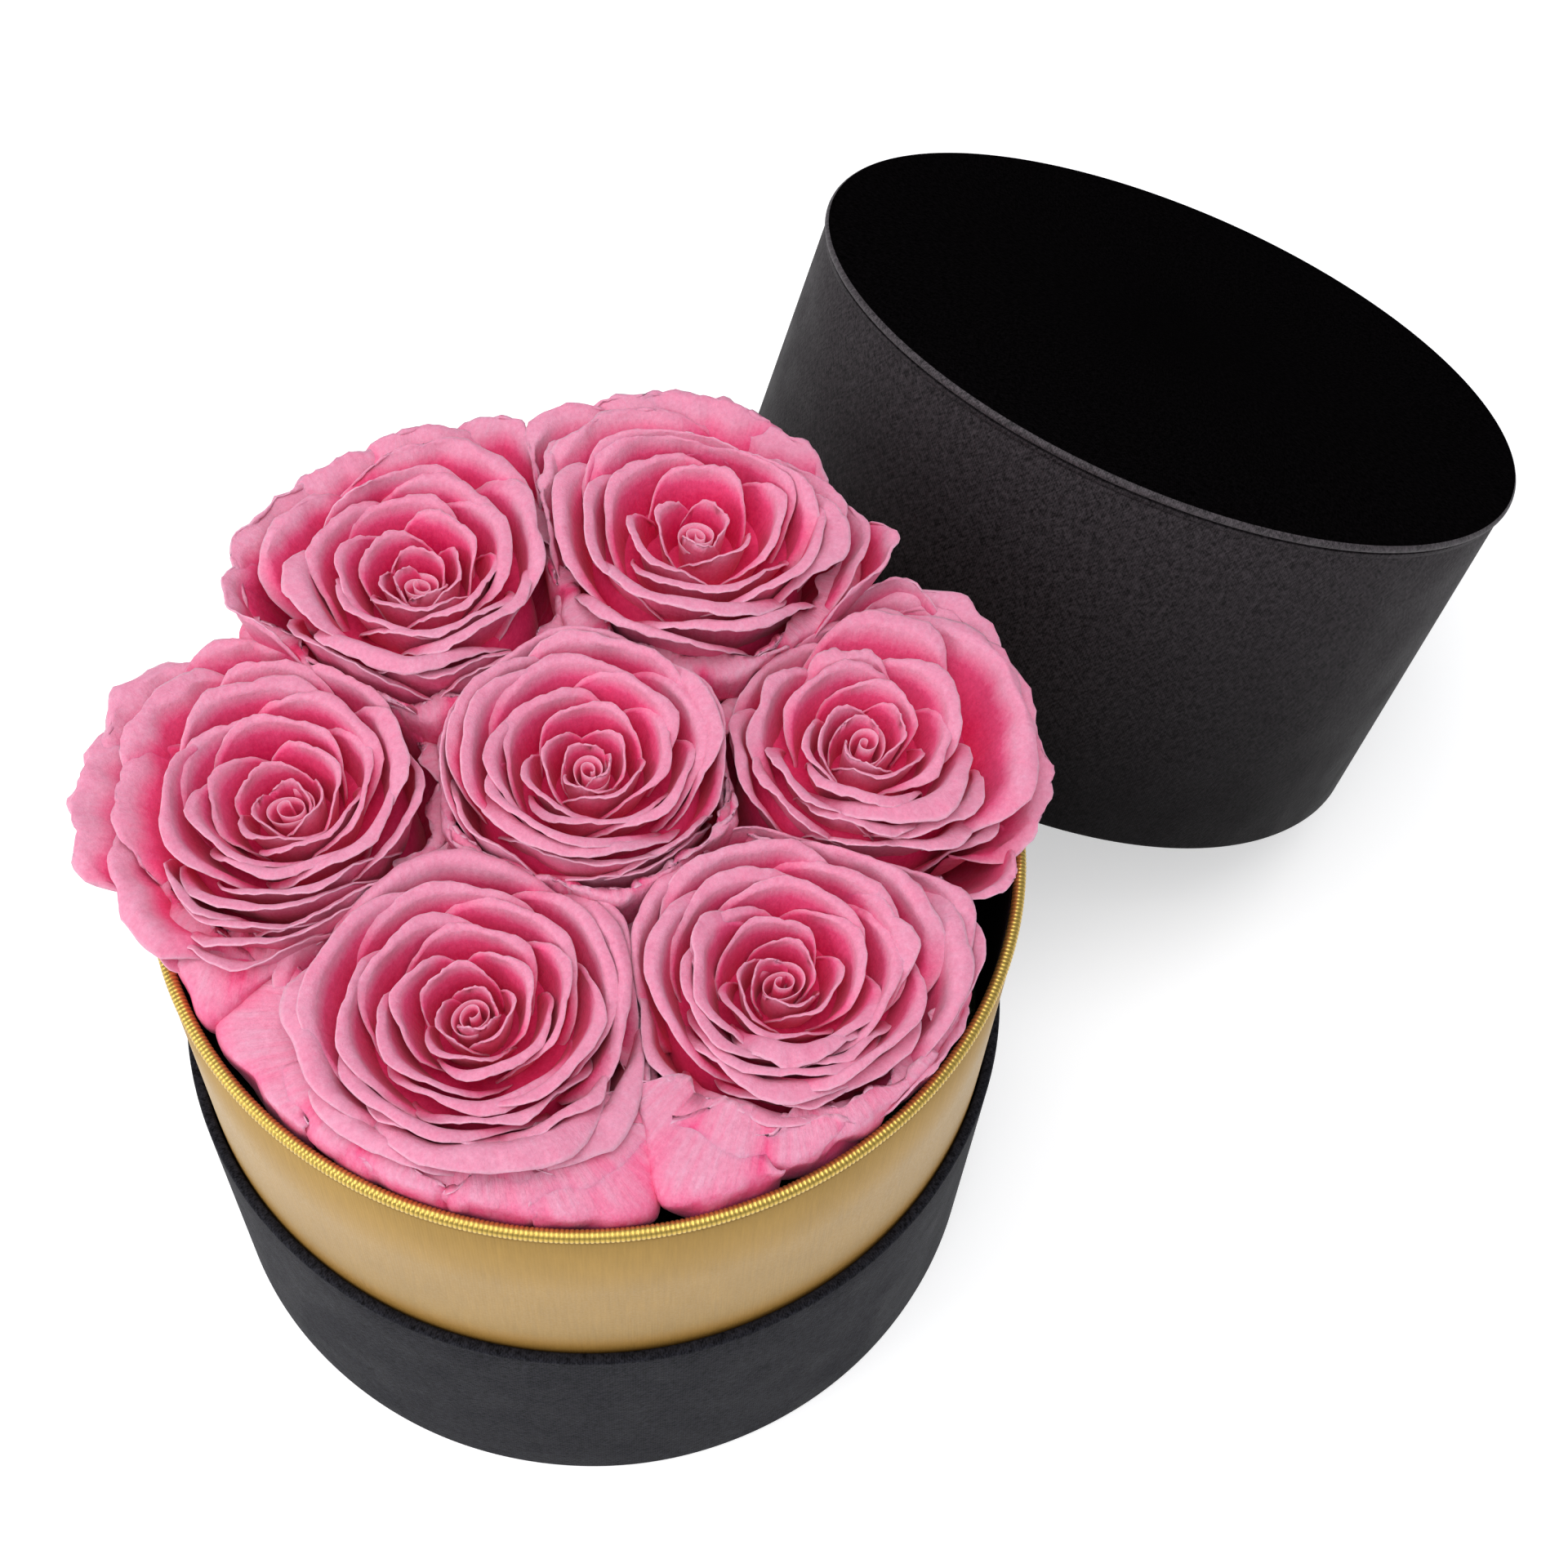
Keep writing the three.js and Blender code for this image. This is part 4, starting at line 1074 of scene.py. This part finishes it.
def collar(foil, bead):
    """The foil-covered sleeve and its rolled rim. Round the roll the radius of the bead swells
    and shrinks as the power 0.6 of a sine, which leaves round ribs with narrow grooves."""
    inner = COLLAR_RADIUS - COLLAR_WALL
    centre = (COLLAR_RADIUS - BEAD_RADIUS + 0.2, COLLAR_TOP - BEAD_RADIUS)
    ribs = round(2 * math.pi * centre[0] * MM / sizes().rib_pitch)
    segments = ribs * 3
    roll = [(centre[0] + BEAD_RADIUS * math.cos(step), centre[1] + BEAD_RADIUS * math.sin(step), 0)
            for step in np.radians(np.linspace(-62, 242, 13))]
    bead_foot = centre[1] - BEAD_RADIUS
    corners = [(inner, COLLAR_FOOT, 0.2), (COLLAR_RADIUS, COLLAR_FOOT, 0.2),
               (COLLAR_RADIUS, bead_foot - 0.05, 0), *roll, (inner, bead_foot, 0)]
    outline = fine_steps(rounded_profile(corners, 2), 25.0)
    is_roll = np.linalg.norm(outline - centre, axis=1) < BEAD_RADIUS + 0.01

    def groove_at(angle):
        return is_roll[:, None] * (1 - np.abs(np.sin(ribs * angle / 2)) ** 0.6)

    def relief(angle, outline):
        inward = (outline - centre) / -BEAD_RADIUS * sizes().rib_depth / MM
        return inward[:, :1] * groove_at(angle), inward[:, 1:] * groove_at(angle)

    shape = turned(outline, segments, relief)
    row = shape[1] // segments
    return new_piece("gold_collar", shape, [foil, bead], "collar",
                     {"groove": groove_at(round_angles(segments))},
                     is_roll[row[:, 0]] & is_roll[row[:, 2]])


def collar_lining(finish):
    """Black card inside the collar."""
    corners = [(LINING_INNER, COLLAR_FOOT, 0.1), (LINING_OUTER, COLLAR_FOOT, 0.1),
               (LINING_OUTER, LINING_TOP, 0.2), (LINING_INNER, LINING_TOP, 0.3)]
    shape = tube(corners, LINING_SEGMENTS, uneven(0.03, 7), 3, 10.0)
    return new_piece("black_collar_lining", shape, [finish], "collar_lining")


def lid_wall(finish):
    """Card tube of the lid under satin."""
    edge = sizes().edge_round / MM
    inner = COLLAR_RADIUS + FIT
    top = LID_DEPTH - LID_TOP_THICKNESS - 0.02
    corners = [(inner, 0, edge * 0.7), (BASE_RADIUS, 0, edge), (BASE_RADIUS, top, 0.05),
               (inner, top, 0.05)]
    shape = leaned(tube(corners, WALL_SEGMENTS, uneven(0.05, 4)))
    return new_piece("satin_lid_wall", shape, [finish], "lid_wall")


def lid_top(face, edge, piping):
    """The covered board of the lid: over a groove its edge stands a little proud of the wall, and
    its face sinks very slightly towards the middle."""
    outer = BASE_RADIUS + LID_TOP_OVERHANG
    low = LID_DEPTH - LID_TOP_THICKNESS
    groove = BASE_RADIUS - 1.0
    corners = [(0, low, 0), (BASE_RADIUS, low, 0), (BASE_RADIUS, LID_DEPTH - 2.3, 0.1),
               (groove, LID_DEPTH - 2.0, 0.1), (groove, LID_DEPTH - 1.8, 0.1),
               (outer, LID_DEPTH - 1.7, 0.8), (outer, LID_DEPTH, 0.85), (0, LID_DEPTH, 0)]
    outline = fine_steps(rounded_profile(corners, 4), 10.0, closed=False)

    def relief(angle, outline):
        sink = np.where(outline[:, 1] > LID_DEPTH - 0.01, 0.25 * (1 - outline[:, 0] / outer), 0)
        change = -sink[:, None] * np.ones_like(angle)
        return np.zeros_like(change), change

    shape = leaned(turned(outline, WALL_SEGMENTS, relief, closed=False))
    is_edge = (outline[:, 0] > outer - 2.0) & (outline[:, 1] < LID_DEPTH - 0.1)
    is_piping = is_edge & (outline[:, 1] > LID_DEPTH - 1.75)
    zone = is_edge.astype(int) + is_piping
    return new_piece("satin_lid_top", shape, [face, edge, piping], "lid_top",
                     face_finish=zone[shape[1][:, 0] // WALL_SEGMENTS])


def cover(node, finish):
    """A solid that stays gets its finish."""
    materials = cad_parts[node].data.materials
    materials.clear()
    materials.append(finish)


# The stage.

def soft_light(name, place, size, power, tint):
    """A square area light that looks at the roses."""
    light = bpy.data.lights.new(name, "AREA")
    light.shape = "SQUARE"
    light.size = size
    light.energy = power
    light.color = tint
    lamp = new_object(name, light)
    lamp.location = place
    aim = Vector(LIGHT_AIM) - Vector(place)
    lamp.rotation_euler = aim.to_track_quat("-Z", "Y").to_euler()


def studio_floor():
    """A plane that reaches well past the view."""
    half = 3.0
    mesh = bpy.data.meshes.new("studio_floor")
    corners = [(-half, -half, 0), (half, -half, 0), (half, half, 0), (-half, half, 0)]
    mesh.from_pydata(corners, [], [(0, 1, 2, 3)])
    mesh.materials.append(floor_finish())
    floor = new_object("studio_floor", mesh)
    floor.location.z = -0.0001


def studio_world():
    """Even pale surroundings."""
    world = bpy.data.worlds.new("studio")
    world.use_nodes = True
    background = world.node_tree.nodes["Background"]
    background.inputs["Color"].default_value = (0.93, 0.95, 1.0, 1.0)
    background.inputs["Strength"].default_value = 0.42
    bpy.context.scene.world = world


def photo_camera():
    """The photograph's camera, built from its place, forward and up directions."""
    forward = Vector(CAMERA_FORWARD).normalized()
    right = forward.cross(Vector(CAMERA_UP)).normalized()
    up = right.cross(forward)
    data = bpy.data.cameras.new("photo_camera")
    data.sensor_width = CAMERA_SENSOR
    data.lens = CAMERA_LENS
    data.clip_start = 0.01
    data.clip_end = 20
    camera = new_object("photo_camera", data)
    turn = Matrix((right, up, -forward)).transposed().to_4x4()
    camera.matrix_world = Matrix.Translation(CAMERA_PLACE) @ turn
    bpy.context.scene.camera = camera


class ROSEBOX_OT_stage(bpy.types.Operator):
    """Floor, surroundings, lights and the camera of the photograph"""

    bl_idname = "rosebox.stage"
    bl_label = "Stage"

    def execute(self, context):
        context.scene.view_settings.view_transform = "Standard"
        studio_floor()
        studio_world()
        soft_light("overhead", (-0.08, 0.02, 1.25), 1.0, 6.8, (1.0, 0.99, 0.98))
        soft_light("side", (-0.8, 0.38, 0.48), 0.6, 3.6, (1.0, 0.98, 0.97))
        soft_light("front", (-0.36, -0.36, 0.95), 0.6, 2.2, (1.0, 0.99, 0.98))
        photo_camera()
        return {"FINISHED"}


class ROSEBOX_OT_base(bpy.types.Operator):
    """Satin base with its floor"""

    bl_idname = "rosebox.base"
    bl_label = "Base"

    def execute(self, context):
        base_wall(satin_finish("black_satin", colour("satin"), 0.006, 0.03))
        cover("base_floor", card_finish())
        return {"FINISHED"}


class ROSEBOX_OT_collar(bpy.types.Operator):
    """Gold collar with its ribbed rolled rim and its black lining"""

    bl_idname = "rosebox.collar"
    bl_label = "Collar"

    def execute(self, context):
        collar(foil_finish(), bead_finish())
        collar_lining(card_finish())
        return {"FINISHED"}


class ROSEBOX_OT_foam(bpy.types.Operator):
    """Finish of the floral foam"""

    bl_idname = "rosebox.foam"
    bl_label = "Foam"

    def execute(self, context):
        cover("foam_block", foam_finish())
        return {"FINISHED"}


class ROSEBOX_OT_blooms(bpy.types.Operator):
    """The seven rose heads"""

    bl_idname = "rosebox.blooms"
    bl_label = "Rose heads"

    def execute(self, context):
        finish = petal_finish()
        for head in HEADS:
            bloom(head, finish)
        return {"FINISHED"}


class ROSEBOX_OT_stems(bpy.types.Operator):
    """Cut stems with calyx and sepals"""

    bl_idname = "rosebox.stems"
    bl_label = "Stems"

    def execute(self, context):
        finish = leaf_finish()
        for head in HEADS:
            stem_and_calyx(head, finish)
        return {"FINISHED"}


class ROSEBOX_OT_lid(bpy.types.Operator):
    """Satin lid, leaning on the shoulder of the base"""

    bl_idname = "rosebox.lid"
    bl_label = "Lid"

    def execute(self, context):
        tone = colour("lid_satin")
        # Painted sheen on the lid's wall: lighter towards the top, darker low down.
        satin = satin_finish("lid_satin", tone, 0.01, 0.06, (12, 80))
        lid_wall(satin)
        # Top face: a darker satin copy without sheen or gloss, as painted shade.
        lid_top(satin_finish("lid_top_satin", shade(tone, 0.15), 0.0, 0.0), satin,
                # Piping: a lighter, glossier satin copy, as a painted highlight.
                satin_finish("lid_piping", shade(tone, 3.2), 0.02, 0.25))
        return {"FINISHED"}


OPERATORS = (ROSEBOX_OT_stage, ROSEBOX_OT_base, ROSEBOX_OT_collar, ROSEBOX_OT_foam,
             ROSEBOX_OT_blooms, ROSEBOX_OT_stems, ROSEBOX_OT_lid)


class ROSEBOX_PT_panel(bpy.types.Panel):
    """Lists the pieces of the rose box"""

    bl_idname = "ROSEBOX_PT_panel"
    bl_label = "Rose box"
    bl_space_type = "VIEW_3D"
    bl_region_type = "UI"
    bl_category = "Rose box"

    def draw(self, context):
        for operator in OPERATORS:
            self.layout.operator(operator.bl_idname)
        for group in (context.scene.rose_box_sizes, context.scene.rose_box_colours):
            for name in group.__annotations__:
                self.layout.prop(group, name)


CLASSES = (RoseBoxSizes, RoseBoxColours, *OPERATORS, ROSEBOX_PT_panel)


def register():
    for kind in CLASSES:
        bpy.utils.register_class(kind)
    bpy.types.Scene.rose_box_sizes = bpy.props.PointerProperty(type=RoseBoxSizes)
    bpy.types.Scene.rose_box_colours = bpy.props.PointerProperty(type=RoseBoxColours)


def unregister():
    del bpy.types.Scene.rose_box_colours
    del bpy.types.Scene.rose_box_sizes
    for kind in reversed(CLASSES):
        bpy.utils.unregister_class(kind)


def main():
    register()
    for operator in OPERATORS:
        group, name = operator.bl_idname.split(".")
        getattr(getattr(bpy.ops, group), name)()


if __name__ == "__main__":
    main()
